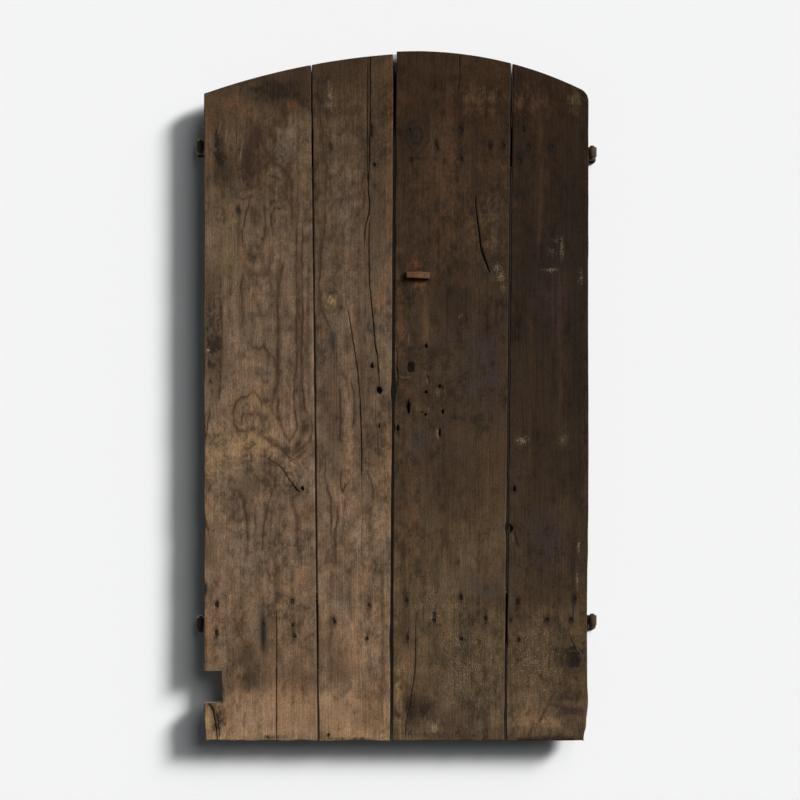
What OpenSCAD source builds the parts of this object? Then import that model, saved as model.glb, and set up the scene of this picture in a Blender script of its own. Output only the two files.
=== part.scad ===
// Pair of arched plank leaves hung on iron strap hinges and wall pintles.
// X runs across the pair, Y from the weathered front to the back, Z up.
// The origin is under the middle of the whole assembly, at the foot of the boards.

/* [Boards] */
// Height of the crown of the arch above the foot
door_h = 2000; // [1700:1:2300]
// Thickness of the boards
board_t = 35; // [28:0.5:45]
// Width of the left outer board at its foot
left_outer_w = 330; // [260:1:380]
// Width of the left inner board at its foot
left_inner_w = 206; // [170:1:260]
// Width of the right inner board at its foot
right_inner_w = 325; // [260:1:380]
// Width of the right outer board at its foot
right_outer_w = 240; // [200:1:300]
// Shrinkage gap between the two left boards
left_seam_gap = 3; // [1:0.5:6]
// Shrinkage gap between the two right boards
right_seam_gap = 5; // [1:0.5:8]
// Gap between the two leaves
meeting_gap = 7; // [4:0.5:12]
// Sideways lean of the left seam, foot to crown
left_seam_lean = -20; // [-30:1:30]
// Sideways lean of the meeting gap, foot to crown
meeting_lean = 11; // [-20:1:20]
// Sideways lean of the right seam, foot to crown
right_seam_lean = 20; // [-30:1:30]

/* [Arch] */
// Radius of the left leaf's arched top
left_arch_r = 2140; // [1900:10:2400]
// Distance from the middle of the door to the centre of the left arch
left_arch_x = 150; // [100:1:200]
// How far the left arch stays below the crown
left_arch_drop = 3; // [0:0.5:10]
// Radius of the right leaf's arched top
right_arch_r = 1100; // [1000:10:1300]
// Distance from the middle of the door to the centre of the right arch
right_arch_x = 56; // [20:1:100]

/* [Wear] */
// Width of the notch broken out of the left edge
notch_w = 52; // [30:1:80]
// Height of that notch
notch_h = 97; // [60:1:130]
// Height of the notch's lower side above the foot
notch_z = 108; // [90:1:150]
// How much the notch narrows from the edge to its inner end
notch_taper = 3; // [0:0.5:8]
// Width of the piece lost from the lower right corner
corner_wear_w = 20; // [8:1:40]
// Height of the piece lost from the lower right corner
corner_wear_h = 60; // [30:1:100]
// How far the lower right edge is worn back
edge_wear = 8; // [2:0.5:14]
// Height over which the lower right edge is worn
edge_wear_h = 420; // [200:5:700]
// Radius worn on the upper right corner
top_corner_r = 42; // [15:1:70]
// Depth of the chips along the boards' edges, behind the front
chip_t = 14; // [6:0.5:22]
// Depth of the drying splits
split_depth = 14; // [6:0.5:20]
// Width of the drying splits at their widest
split_w = 4; // [2:0.5:6]

/* [Keyhole and old holes] */
// Width of the keyhole
keyhole_w = 19; // [12:0.5:24]
// Height of the keyhole
keyhole_h = 31; // [26:0.5:44]
// Height of the keyhole's middle above the foot
keyhole_z = 1084; // [900:1:1200]
// Distance from the meeting edge to the keyhole's middle
keyhole_setback = 48; // [35:1:70]
// Width of the slot below the keyhole
slot_w = 9; // [5:0.5:14]
// Height of the slot below the keyhole
slot_h = 32; // [20:1:45]
// Distance from the keyhole's middle down to the slot's middle
slot_drop = 114; // [60:1:150]
// Depth of the slot and of the empty nail holes
old_hole_depth = 16; // [6:0.5:22]
// Width of the empty nail holes
old_hole_w = 7; // [4:0.5:10]

/* [Ledges] */
// Thickness of the ledges across the back
ledge_t = 28; // [20:0.5:40]
// Height of the upper ledges
upper_ledge_h = 125; // [110:1:160]
// Height of the lower ledges
lower_ledge_h = 150; // [135:1:180]
// Distance from the crown down to the middle of the upper ledges
upper_ledge_drop = 272; // [240:1:400]
// Middle of the lower ledges above the foot
lower_ledge_z = 354; // [320:1:420]
// Distance from the outer edge of a leaf to the end of its ledge
ledge_outer_inset = 25; // [15:1:40]
// Distance from the meeting edge of a leaf to the end of its ledge
ledge_inner_inset = 22; // [15:1:40]
// Chamfer along the back edges of the ledges
ledge_chamfer = 8; // [3:0.5:12]

/* [Strap hinges] */
// Thickness of the strap iron
strap_t = 6; // [4:0.5:8]
// Height of a strap at its widest
strap_h = 40; // [36:1:50]
// Height of a strap at its tip
strap_tip_h = 24; // [16:1:30]
// Distance from the meeting edge at the foot to the strap's tip
strap_tip_inset = 55; // [45:1:120]
// Height of the rolled eye
eye_h = 28; // [22:1:34]
// Distance from the outer edge of a leaf to the hinge axis
hinge_offset = 15.5; // [14:0.5:20]
// Height of the upper left eye over the middle of its ledge
upper_left_eye_rise = 4; // [-16:1:16]
// Height of the upper right eye over the middle of its ledge
upper_right_eye_rise = -14; // [-16:1:16]
// Height of the lower left eye over the middle of its ledge
lower_left_eye_rise = -16; // [-20:1:20]
// Height of the lower right eye over the middle of its ledge
lower_right_eye_rise = -10; // [-20:1:20]
// Radius of the pintle's pin
pin_r = 7; // [6:0.25:9]
// Running clearance between pin and eye
pin_clearance = 0.08; // [0.03:0.01:0.1]
// Clearance under the eye, above the pintle's shoulder
seat_clearance = 0.3; // [0.1:0.05:0.5]
// Gap left where the rolled end comes back to the strap
roll_gap = 0.8; // [0.3:0.1:1.5]

/* [Wall pintles] */
// How far the pin stands above the eye
pin_proud = 5; // [2:0.5:10]
// Thickness of the pintle's flat arm
arm_t = 9; // [7:0.5:14]
// Width of the pintle's flat arm
arm_w = 20; // [16:0.5:24]
// Distance from the hinge axis to the wall
wall_gap = 27; // [25:0.5:45]
// Thickness of the collar that stops against the wall
collar_t = 5; // [3:0.5:8]
// Radius of the collar
collar_r = 13; // [11:0.5:14]
// Radius of the spike driven into the wall
spike_r = 8; // [6:0.5:10]
// Length of the parallel part of the spike
spike_len = 80; // [50:1:120]
// Length of the spike's point
spike_tip_len = 25; // [15:1:35]

/* [Nails] */
// Width of a nail's square shank
nail_w = 5; // [3.5:0.5:6]
// Width of a nail's square head
nail_head_w = 9; // [7:0.5:12]
// Thickness of a nail's head
nail_head_t = 3; // [2:0.5:4]
// How far the heads are sunk below the front
nail_sink = 2; // [0.5:0.5:4]
// Length of the tip bent over at the back
clench_len = 20; // [12:1:28]
// Thickness of the tip bent over at the back
clench_t = 3; // [2:0.5:4]
// Clearance round a nail in its hole
nail_clearance = 0.1; // [0.05:0.05:0.3]

/* [Stop block] */
// Length of the small block on the right leaf
block_len = 68; // [40:1:90]
// Height of the block
block_h = 20; // [14:1:30]
// How far the block stands out from the front
block_proud = 12; // [8:0.5:20]
// Distance from the meeting edge to the near end of the block
block_setback = 34; // [20:1:60]
// Middle of the block above the foot
block_z = 1350; // [1200:1:1450]
// Fall of the block's lower side, end to end
block_tilt = 3; // [0:0.5:5]
// Width of the block's two headless brads
brad_w = 3; // [2:0.5:4]
// Distance from each end of the block to its brad
brad_inset = 16; // [10:1:20]
// How deep the brads go into the board
brad_depth = 20; // [12:1:28]

/* [Hidden] */

// Facets of a small round and of an arch
small_fn = 48;
arch_fn = 360;
// Overshoot that lets a cut pass cleanly through a face
eps = 1;

// Places along Y, from the front of the stop block to the tips of the spikes
eye_r = pin_r + pin_clearance + strap_t;
axis_behind_front = board_t + ledge_t + strap_t - eye_r;
total_depth = block_proud + axis_behind_front + wall_gap + spike_len + spike_tip_len;
front_y = block_proud - total_depth / 2;
board_back_y = front_y + board_t;
ledge_back_y = board_back_y + ledge_t;
strap_back_y = ledge_back_y + strap_t;
axis_y = front_y + axis_behind_front;
wall_y = axis_y + wall_gap;

// Places along X at the foot
door_w = left_outer_w + left_seam_gap + left_inner_w + meeting_gap
       + right_inner_w + right_seam_gap + right_outer_w;
lo_l = -door_w / 2;
lo_r = lo_l + left_outer_w;
li_l = lo_r + left_seam_gap;
li_r = li_l + left_inner_w;
ri_l = li_r + meeting_gap;
ri_r = ri_l + right_inner_w;
ro_l = ri_r + right_seam_gap;
ro_r = door_w / 2;
hinge_x = door_w / 2 + hinge_offset;
left_strap_len = hinge_x + li_r - strap_tip_inset;
right_strap_len = hinge_x - ri_l - strap_tip_inset;

// Heights of the ledges and the hinge eyes
upper_ledge_z = door_h - upper_ledge_drop;
upper_left_eye_z = upper_ledge_z + upper_left_eye_rise;
upper_right_eye_z = upper_ledge_z + upper_right_eye_rise;
lower_left_eye_z = lower_ledge_z + lower_left_eye_rise;
lower_right_eye_z = lower_ledge_z + lower_right_eye_rise;

// Each board as [left edge, right edge, lean of left edge, lean of right edge]
LEFT_OUTER = [lo_l, lo_r, 0, left_seam_lean];
LEFT_INNER = [li_l, li_r, left_seam_lean, meeting_lean];
RIGHT_INNER = [ri_l, ri_r, meeting_lean, right_seam_lean];
RIGHT_OUTER = [ro_l, ro_r, right_seam_lean, 0];

// Nails as [board, share of its width, share of the ledge's or strap's height above its middle]
UPPER_LEFT_LEDGE_NAILS = [
    [LEFT_OUTER, 0.12, 0.32], [LEFT_OUTER, 0.13, -0.34], [LEFT_OUTER, 0.76, 0.34],
    [LEFT_OUTER, 0.79, -0.35], [LEFT_INNER, 0.3, 0.32], [LEFT_INNER, 0.76, -0.4]
];
LOWER_LEFT_LEDGE_NAILS = [
    [LEFT_OUTER, 0.115, 0.27], [LEFT_OUTER, 0.11, -0.27], [LEFT_OUTER, 0.785, 0.33],
    [LEFT_OUTER, 0.805, -0.34], [LEFT_INNER, 0.71, 0.26], [LEFT_INNER, 0.68, -0.385]
];
UPPER_RIGHT_LEDGE_NAILS = [
    [RIGHT_INNER, 0.57, 0.345], [RIGHT_INNER, 0.575, -0.36], [RIGHT_INNER, 0.12, 0.32],
    [RIGHT_INNER, 0.14, -0.35], [RIGHT_OUTER, 0.15, 0.37], [RIGHT_OUTER, 0.1, -0.37]
];
LOWER_RIGHT_LEDGE_NAILS = [
    [RIGHT_INNER, 0.605, 0.4], [RIGHT_INNER, 0.61, -0.385], [RIGHT_OUTER, 0.125, 0.33],
    [RIGHT_OUTER, 0.145, -0.41], [RIGHT_OUTER, 0.83, 0.4], [RIGHT_INNER, 0.12, 0.36],
    [RIGHT_INNER, 0.13, -0.37]
];
UPPER_LEFT_STRAP_NAILS = [[LEFT_OUTER, 0.3, -0.15], [LEFT_OUTER, 0.66, 0.15], [LEFT_INNER, 0.226, -0.1]];
LOWER_LEFT_STRAP_NAILS = [[LEFT_OUTER, 0.525, 0.05], [LEFT_OUTER, 0.79, -0.05], [LEFT_INNER, 0.235, 0.15]];
UPPER_RIGHT_STRAP_NAILS = [
    [RIGHT_OUTER, 0.51, 0.2], [RIGHT_OUTER, 0.22, 0.22], [RIGHT_INNER, 0.94, 0.2],
    [RIGHT_INNER, 0.825, 0.2], [RIGHT_INNER, 0.36, 0.15]
];
LOWER_RIGHT_STRAP_NAILS = [
    [RIGHT_OUTER, 0.785, 0.15], [RIGHT_OUTER, 0.49, 0.15], [RIGHT_INNER, 0.825, 0.2],
    [RIGHT_INNER, 0.365, 0.15]
];

// Drying splits as [share of the board's width, height] down each line
LEFT_OUTER_SPLITS = [
    [[0.64, 360], [0.635, 260], [0.63, 140], [0.63, 0]],
    [[0.565, 817], [0.65, 806], [0.74, 771], [0.83, 725]]
];
LEFT_INNER_SPLITS = [
    [[0.7, 1983], [0.68, 1846], [0.67, 1722], [0.68, 1612], [0.7, 1545], [0.66, 1487], [0.69, 1388],
     [0.72, 1296], [0.78, 1120], [0.75, 985], [0.78, 786]],
    [[0.46, 1220], [0.52, 1116], [0.56, 1052], [0.59, 872], [0.61, 687], [0.6, 585], [0.59, 472]],
    [[0.11, 1745], [0.16, 1695], [0.19, 1646], [0.17, 1499], [0.13, 1432]]
];
RIGHT_INNER_SPLITS = [
    [[0.55, 1990], [0.53, 1910], [0.52, 1829]],
    [[0.69, 1571], [0.7, 1500], [0.73, 1406], [0.83, 1357]],
    [[0.21, 330], [0.205, 232], [0.185, 180], [0.14, 113], [0.12, 0]],
    [[0.07, 1632], [0.05, 1560], [0.045, 1499]]
];
RIGHT_OUTER_SPLITS = [
    [[0.03, 615], [0.08, 590], [0.13, 565]],
    [[0.8, 525], [0.83, 437], [0.84, 345]],
    [[0.82, 293], [0.86, 262], [0.9, 246]]
];

// Chips out of the boards' edges as [height, half of the height, depth into the board]
LEFT_OUTER_CHIPS = [[880, 20, 5], [633, 24, 6], [441, 20, 4]];
RIGHT_INNER_CHIPS = [[1110, 30, 3], [1007, 24, 7], [906, 11, 8]];
RIGHT_OUTER_CHIPS = [[616, 10, 9]];

// Empty nail holes as [distance from the meeting edge, height]
LEFT_OLD_HOLES = [[57, 1086], [37, 1015], [38, 912]];
RIGHT_OLD_HOLES = [[92, 1145], [92, 1050], [131, 1010], [92, 952], [140, 960], [128, 890]];

function left_edge(board, z) = board[0] + board[2] * z / door_h;
function right_edge(board, z) = board[1] + board[3] * z / door_h;
function across(board, share, z) =
    left_edge(board, z) + share * (right_edge(board, z) - left_edge(board, z));
function arch_top(arch_x, arch_r, arch_z, x) = arch_z - arch_r + sqrt(pow(arch_r, 2) - pow(x - arch_x, 2));

// A flat outline drawn in X and Z, made a slab from y forward to the back
module slab(y, thickness) {
    translate([0, y + thickness, 0]) rotate([90, 0, 0]) linear_extrude(thickness) children();
}

// A bar of square section along Y, centred on x and z
module square_bar(x, z, y, length, width) {
    translate([x - width / 2, y, z - width / 2]) cube([width, length, width]);
}

// Foot, sides and arch of one board
module board_outline(board, arch_x, arch_r, arch_z) {
    intersection() {
        polygon([
            [left_edge(board, 0), 0], [right_edge(board, 0), 0],
            [right_edge(board, door_h), door_h], [left_edge(board, door_h), door_h]
        ]);
        translate([arch_x, arch_z - arch_r]) circle(r = arch_r, $fn = arch_fn);
    }
}

module left_outline(board) {
    board_outline(board, left_arch_x, left_arch_r, door_h - left_arch_drop);
}

module right_outline(board) {
    board_outline(board, right_arch_x, right_arch_r, door_h);
}

// One drying split: a sliver that is widest in its middle and fades to both ends
module split(board, line) {
    last = len(line) - 1;
    function half(i) = split_w / 2 * max(0.15, sin(180 * i / last));
    function side(s) = [for (i = [0:last])
        let (p = line[i]) [across(board, p[0], p[1]) + s * half(i), p[1]]];
    slab(front_y - eps, split_depth + eps)
        polygon(concat(side(-1), [for (i = [last:-1:0]) side(1)[i]]));
}

module splits(board, lines) {
    for (line = lines) split(board, line);
}

// Chips broken off the front along a board's left edge
module chips(board, list) {
    for (c = list) {
        x = left_edge(board, c[0]);
        slab(front_y - eps, chip_t + eps)
            polygon([[x - eps, c[0] - c[1]], [x + c[2], c[0] - c[1] / 4], [x + c[2] / 2, c[0] + c[1] / 3],
                     [x - eps, c[0] + c[1]]]);
    }
}

module empty_holes(board, holes, edge, side) {
    for (h = holes) {
        x = (edge > 0 ? right_edge(board, h[1]) : left_edge(board, h[1])) + side * h[0];
        square_bar(x, h[1], front_y - eps, old_hole_depth + eps, old_hole_w);
    }
}

// One clenched nail: sunk head, shank, and tip bent sideways over the back
module nail(x, z, back_y, side) {
    head_y = front_y + nail_sink;
    square_bar(x, z, head_y, nail_head_t, nail_head_w);
    square_bar(x, z, head_y, back_y + clench_t - head_y, nail_w);
    translate([x - nail_w / 2 - (side < 0 ? clench_len : 0), back_y, z - nail_w / 2])
        cube([clench_len + nail_w, clench_t, nail_w]);
}

// Every tip is bent towards the middle of its own board
module nails(list, middle_z, height, back_y) {
    for (n = list) {
        z = middle_z + n[2] * height;
        nail(across(n[0], n[1], z), z, back_y, n[1] < 0.5 ? 1 : -1);
    }
}

// Holes for the same nails, with the recess for each sunk head
module nail_holes(list, middle_z, height) {
    for (n = list) {
        z = middle_z + n[2] * height;
        x = across(n[0], n[1], z);
        square_bar(x, z, front_y - eps, strap_back_y - front_y + 2 * eps, nail_w + 2 * nail_clearance);
        square_bar(x, z, front_y - eps, nail_sink + nail_head_t + eps, nail_head_w + 2 * nail_clearance);
    }
}

module left_nail_holes() {
    nail_holes(UPPER_LEFT_LEDGE_NAILS, upper_ledge_z, upper_ledge_h);
    nail_holes(LOWER_LEFT_LEDGE_NAILS, lower_ledge_z, lower_ledge_h);
    nail_holes(UPPER_LEFT_STRAP_NAILS, upper_left_eye_z, strap_h);
    nail_holes(LOWER_LEFT_STRAP_NAILS, lower_left_eye_z, strap_h);
}

module right_nail_holes() {
    nail_holes(UPPER_RIGHT_LEDGE_NAILS, upper_ledge_z, upper_ledge_h);
    nail_holes(LOWER_RIGHT_LEDGE_NAILS, lower_ledge_z, lower_ledge_h);
    nail_holes(UPPER_RIGHT_STRAP_NAILS, upper_right_eye_z, strap_h);
    nail_holes(LOWER_RIGHT_STRAP_NAILS, lower_right_eye_z, strap_h);
}

module left_outer_board() {
    foot_chip = 12;
    color("#6b5643") difference() {
        slab(front_y, board_t) difference() {
            left_outline(LEFT_OUTER);
            polygon([
                [lo_l - eps, notch_z], [lo_l + notch_w, notch_z + notch_taper],
                [lo_l + notch_w - notch_taper, notch_z + notch_h],
                [lo_l - eps, notch_z + notch_h - notch_taper]
            ]);
            polygon([
                [lo_l - eps, -eps], [lo_l + foot_chip, -eps],
                [lo_l, 3 * foot_chip], [lo_l - eps, 3 * foot_chip]
            ]);
        }
        splits(LEFT_OUTER, LEFT_OUTER_SPLITS);
        chips(LEFT_OUTER, LEFT_OUTER_CHIPS);
        left_nail_holes();
    }
}

module left_inner_board() {
    color("#6a5441") difference() {
        slab(front_y, board_t) left_outline(LEFT_INNER);
        splits(LEFT_INNER, LEFT_INNER_SPLITS);
        empty_holes(LEFT_INNER, LEFT_OLD_HOLES, 1, -1);
        left_nail_holes();
    }
}

// Keyhole, right through: two round ends and the straight sides between them
module keyhole() {
    x = left_edge(RIGHT_INNER, keyhole_z) + keyhole_setback;
    straight = keyhole_h - keyhole_w;
    translate([x, front_y - eps, keyhole_z]) rotate([-90, 0, 0]) {
        for (s = [-1, 1]) translate([0, s * straight / 2, 0])
            cylinder(d = keyhole_w, h = board_t + 2 * eps, $fn = small_fn);
        translate([-keyhole_w / 2, -straight / 2, 0])
            cube([keyhole_w, straight, board_t + 2 * eps]);
    }
}

module right_inner_board() {
    slot_z = keyhole_z - slot_drop;
    slot_x = left_edge(RIGHT_INNER, slot_z) + keyhole_setback - keyhole_w / 2;
    color("#45362a") difference() {
        slab(front_y, board_t) right_outline(RIGHT_INNER);
        keyhole();
        translate([slot_x, front_y - eps, slot_z - slot_h / 2])
            cube([slot_w, old_hole_depth + eps, slot_h]);
        splits(RIGHT_INNER, RIGHT_INNER_SPLITS);
        chips(RIGHT_INNER, RIGHT_INNER_CHIPS);
        empty_holes(RIGHT_INNER, RIGHT_OLD_HOLES, -1, 1);
        brads(nail_clearance);
        right_nail_holes();
    }
}

// What is worn off the upper right corner, outside a round that touches the arch and the right edge
module worn_corner() {
    x = ro_r - top_corner_r;
    z = arch_top(right_arch_x, right_arch_r - top_corner_r, door_h - top_corner_r, x);
    out = 2 * top_corner_r / right_arch_r;
    difference() {
        polygon([
            [x, z], [x + out * (x - right_arch_x), z + out * (z - door_h + right_arch_r)],
            [ro_r + eps, z + 2 * top_corner_r], [ro_r + eps, z]
        ]);
        translate([x, z]) circle(r = top_corner_r, $fn = small_fn);
    }
}

module right_outer_board() {
    color("#3d3127") difference() {
        slab(front_y, board_t) difference() {
            right_outline(RIGHT_OUTER);
            polygon([
                [ro_r + eps, -eps], [ro_r - edge_wear - corner_wear_w, -eps],
                [ro_r - edge_wear - corner_wear_w / 3, corner_wear_h / 4],
                [ro_r - edge_wear, corner_wear_h], [ro_r, corner_wear_h + edge_wear_h],
                [ro_r + eps, corner_wear_h + edge_wear_h]
            ]);
            worn_corner();
        }
        splits(RIGHT_OUTER, RIGHT_OUTER_SPLITS);
        chips(RIGHT_OUTER, RIGHT_OUTER_CHIPS);
        right_nail_holes();
    }
}

// Ledge nailed across the back, its two back arrises chamfered
module ledge(x0, x1, middle_z, height) {
    c = ledge_chamfer;
    translate([x0, board_back_y, middle_z - height / 2]) rotate([90, 0, 90]) linear_extrude(x1 - x0)
        polygon([
            [0, 0], [ledge_t - c, 0], [ledge_t, c], [ledge_t, height - c], [ledge_t - c, height], [0, height]
        ]);
}

module left_ledge(middle_z, height) {
    ledge(lo_l + ledge_outer_inset, right_edge(LEFT_INNER, middle_z) - ledge_inner_inset,
          middle_z, height);
}

module right_ledge(middle_z, height) {
    ledge(left_edge(RIGHT_INNER, middle_z) + ledge_inner_inset, ro_r - ledge_outer_inset,
          middle_z, height);
}

module upper_left_ledge() {
    color("#5b4938") difference() {
        left_ledge(upper_ledge_z, upper_ledge_h);
        left_nail_holes();
    }
}

module lower_left_ledge() {
    color("#5b4938") difference() {
        left_ledge(lower_ledge_z, lower_ledge_h);
        left_nail_holes();
    }
}

module upper_right_ledge() {
    color("#4a3b2e") difference() {
        right_ledge(upper_ledge_z, upper_ledge_h);
        right_nail_holes();
    }
}

module lower_right_ledge() {
    color("#4a3b2e") difference() {
        right_ledge(lower_ledge_z, lower_ledge_h);
        right_nail_holes();
    }
}

module upper_left_ledge_nails() {
    color("#3a2c24") nails(UPPER_LEFT_LEDGE_NAILS, upper_ledge_z, upper_ledge_h, ledge_back_y);
}

module lower_left_ledge_nails() {
    color("#3a2c24") nails(LOWER_LEFT_LEDGE_NAILS, lower_ledge_z, lower_ledge_h, ledge_back_y);
}

module upper_right_ledge_nails() {
    color("#3a2c24") nails(UPPER_RIGHT_LEDGE_NAILS, upper_ledge_z, upper_ledge_h, ledge_back_y);
}

module lower_right_ledge_nails() {
    color("#3a2c24") nails(LOWER_RIGHT_LEDGE_NAILS, lower_ledge_z, lower_ledge_h, ledge_back_y);
}

// Strap with its eye rolled forward round the pin; side is 1 on the right, -1 on the left
module strap(side, eye_z, length) {
    neck = hinge_offset + ledge_outer_inset;
    shoulder = neck + strap_h / 2;
    point = strap_tip_h / 2;
    translate([side * hinge_x, 0, eye_z]) difference() {
        union() {
            translate([0, axis_y, -eye_h / 2]) cylinder(r = eye_r, h = eye_h, $fn = small_fn);
            mirror([side > 0 ? 1 : 0, 0, 0]) slab(ledge_back_y, strap_t) polygon([
                [0, -eye_h / 2], [neck, -eye_h / 2], [shoulder, -strap_h / 2],
                [length - point, -strap_tip_h / 2], [length, 0], [length - point, strap_tip_h / 2],
                [shoulder, strap_h / 2], [neck, eye_h / 2], [0, eye_h / 2]
            ]);
        }
        translate([0, axis_y, -eye_h / 2 - eps])
            cylinder(r = pin_r + pin_clearance, h = eye_h + 2 * eps, $fn = small_fn);
        translate([side > 0 ? -eye_r - eps : pin_r / 2, ledge_back_y - roll_gap, -eye_h / 2 - eps])
            cube([eye_r + eps - pin_r / 2, roll_gap, eye_h + 2 * eps]);
    }
}

module upper_left_strap() {
    color("#3c2a20") difference() {
        strap(-1, upper_left_eye_z, left_strap_len);
        left_nail_holes();
    }
}

module lower_left_strap() {
    color("#3c2a20") difference() {
        strap(-1, lower_left_eye_z, left_strap_len);
        left_nail_holes();
    }
}

module upper_right_strap() {
    color("#3c2a20") difference() {
        strap(1, upper_right_eye_z, right_strap_len);
        right_nail_holes();
    }
}

module lower_right_strap() {
    color("#3c2a20") difference() {
        strap(1, lower_right_eye_z, right_strap_len);
        right_nail_holes();
    }
}

module upper_left_strap_nails() {
    color("#3a2c24") nails(UPPER_LEFT_STRAP_NAILS, upper_left_eye_z, strap_h, strap_back_y);
}

module lower_left_strap_nails() {
    color("#3a2c24") nails(LOWER_LEFT_STRAP_NAILS, lower_left_eye_z, strap_h, strap_back_y);
}

module upper_right_strap_nails() {
    color("#3a2c24") nails(UPPER_RIGHT_STRAP_NAILS, upper_right_eye_z, strap_h, strap_back_y);
}

module lower_right_strap_nails() {
    color("#3a2c24") nails(LOWER_RIGHT_STRAP_NAILS, lower_right_eye_z, strap_h, strap_back_y);
}

// Pintle: upright pin, flat arm back to the wall, collar and driven spike
module pintle(side, eye_z) {
    shoulder_z = -eye_h / 2 - seat_clearance;
    pin_top = eye_h / 2 + pin_proud;
    dome = 2;
    translate([side * hinge_x, axis_y, eye_z]) {
        rotate_extrude($fn = small_fn) polygon([
            [0, shoulder_z - arm_t / 2], [pin_r, shoulder_z - arm_t / 2],
            [pin_r, pin_top - dome], [pin_r - dome, pin_top], [0, pin_top]
        ]);
        translate([0, 0, shoulder_z - arm_t]) {
            cylinder(r = arm_w / 2, h = arm_t, $fn = small_fn);
            translate([-arm_w / 2, 0, 0]) cube([arm_w, wall_gap - collar_t / 2, arm_t]);
        }
        translate([0, wall_gap - collar_t, shoulder_z - arm_t / 2]) rotate([-90, 0, 0])
            rotate_extrude($fn = small_fn) polygon([
                [0, 0], [collar_r, 0], [collar_r, collar_t], [spike_r, collar_t],
                [spike_r, collar_t + spike_len], [0, collar_t + spike_len + spike_tip_len]
            ]);
    }
}

module upper_left_pintle() {
    color("#35261d") pintle(-1, upper_left_eye_z);
}

module lower_left_pintle() {
    color("#35261d") pintle(-1, lower_left_eye_z);
}

module upper_right_pintle() {
    color("#35261d") pintle(1, upper_right_eye_z);
}

module lower_right_pintle() {
    color("#35261d") pintle(1, lower_right_eye_z);
}

// The two brads that hold the stop block, grown by a clearance when they cut their holes
module brads(clearance) {
    x0 = left_edge(RIGHT_INNER, block_z) + block_setback;
    for (x = [x0 + brad_inset, x0 + block_len - brad_inset])
        square_bar(x, block_z, front_y - block_proud - clearance,
                   block_proud + brad_depth + 2 * clearance, brad_w + 2 * clearance);
}

module stop_block() {
    x0 = left_edge(RIGHT_INNER, block_z) + block_setback;
    color("#7a5637") difference() {
        slab(front_y - block_proud, block_proud) polygon([
            [x0, block_z - block_h / 2 + block_tilt], [x0 + block_len, block_z - block_h / 2],
            [x0 + block_len, block_z + block_h / 2 - block_tilt / 2], [x0, block_z + block_h / 2]
        ]);
        brads(nail_clearance);
    }
}

module stop_block_brads() {
    color("#3a2c24") brads(0);
}

left_outer_board();
left_inner_board();
right_inner_board();
right_outer_board();
upper_left_ledge();
lower_left_ledge();
upper_right_ledge();
lower_right_ledge();
upper_left_ledge_nails();
lower_left_ledge_nails();
upper_right_ledge_nails();
lower_right_ledge_nails();
upper_left_strap();
lower_left_strap();
upper_right_strap();
lower_right_strap();
upper_left_strap_nails();
lower_left_strap_nails();
upper_right_strap_nails();
lower_right_strap_nails();
upper_left_pintle();
lower_left_pintle();
upper_right_pintle();
lower_right_pintle();
stop_block();
stop_block_brads();
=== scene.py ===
"""Weathered finish for a pair of arched plank leaves hung on strap hinges and wall pintles.

The solids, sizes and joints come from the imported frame. Each board, ledge, iron and nail gets its
worn surface here, and the last operator adds the pale wall, the light and the camera.
"""

import math

import bmesh
import bpy
import numpy as np
from bpy.props import FloatProperty, FloatVectorProperty, PointerProperty
from bpy.types import Operator, Panel, PropertyGroup
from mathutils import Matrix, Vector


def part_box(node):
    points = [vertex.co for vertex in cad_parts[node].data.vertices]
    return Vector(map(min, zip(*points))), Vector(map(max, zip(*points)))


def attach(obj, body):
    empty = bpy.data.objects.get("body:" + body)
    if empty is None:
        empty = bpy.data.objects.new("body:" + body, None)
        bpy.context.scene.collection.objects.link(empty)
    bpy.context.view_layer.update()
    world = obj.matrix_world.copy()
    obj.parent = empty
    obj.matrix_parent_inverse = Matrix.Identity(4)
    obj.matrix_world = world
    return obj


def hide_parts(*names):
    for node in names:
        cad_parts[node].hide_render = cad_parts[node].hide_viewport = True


bl_info = {
    "name": "Arched plank door",
    "version": (1, 0, 0),
    "blender": (4, 5, 0),
    "location": "View3D > Sidebar > Door",
    "description": "Worn boards, ledges, irons and setting for a pair of arched plank leaves",
    "category": "Object",
}

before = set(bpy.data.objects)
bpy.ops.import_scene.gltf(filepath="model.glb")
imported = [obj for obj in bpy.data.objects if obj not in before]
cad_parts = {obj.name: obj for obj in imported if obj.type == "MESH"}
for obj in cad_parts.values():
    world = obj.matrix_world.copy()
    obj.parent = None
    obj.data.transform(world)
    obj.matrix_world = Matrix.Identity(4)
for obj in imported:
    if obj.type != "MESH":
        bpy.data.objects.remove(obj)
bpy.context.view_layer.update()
MM = 0.001

# Scale of the photograph on the weathered front: millimetres in a pixel, and the pixel column and
# row of the middle of the pair and of its foot
PX = 2.8986 * MM
MIDDLE_COLUMN = 396.25
FOOT_ROW = 741.0


def linear(hex_colour):
    """sRGB hex to linear light: ((c + 0.055) / 1.055) to the power 2.4, and c / 12.92 near black."""
    values = [int(hex_colour[i:i + 2], 16) / 255 for i in (1, 3, 5)]
    return tuple(c / 12.92 if c <= 0.04045 else ((c + 0.055) / 1.055) ** 2.4 for c in values)


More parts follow.
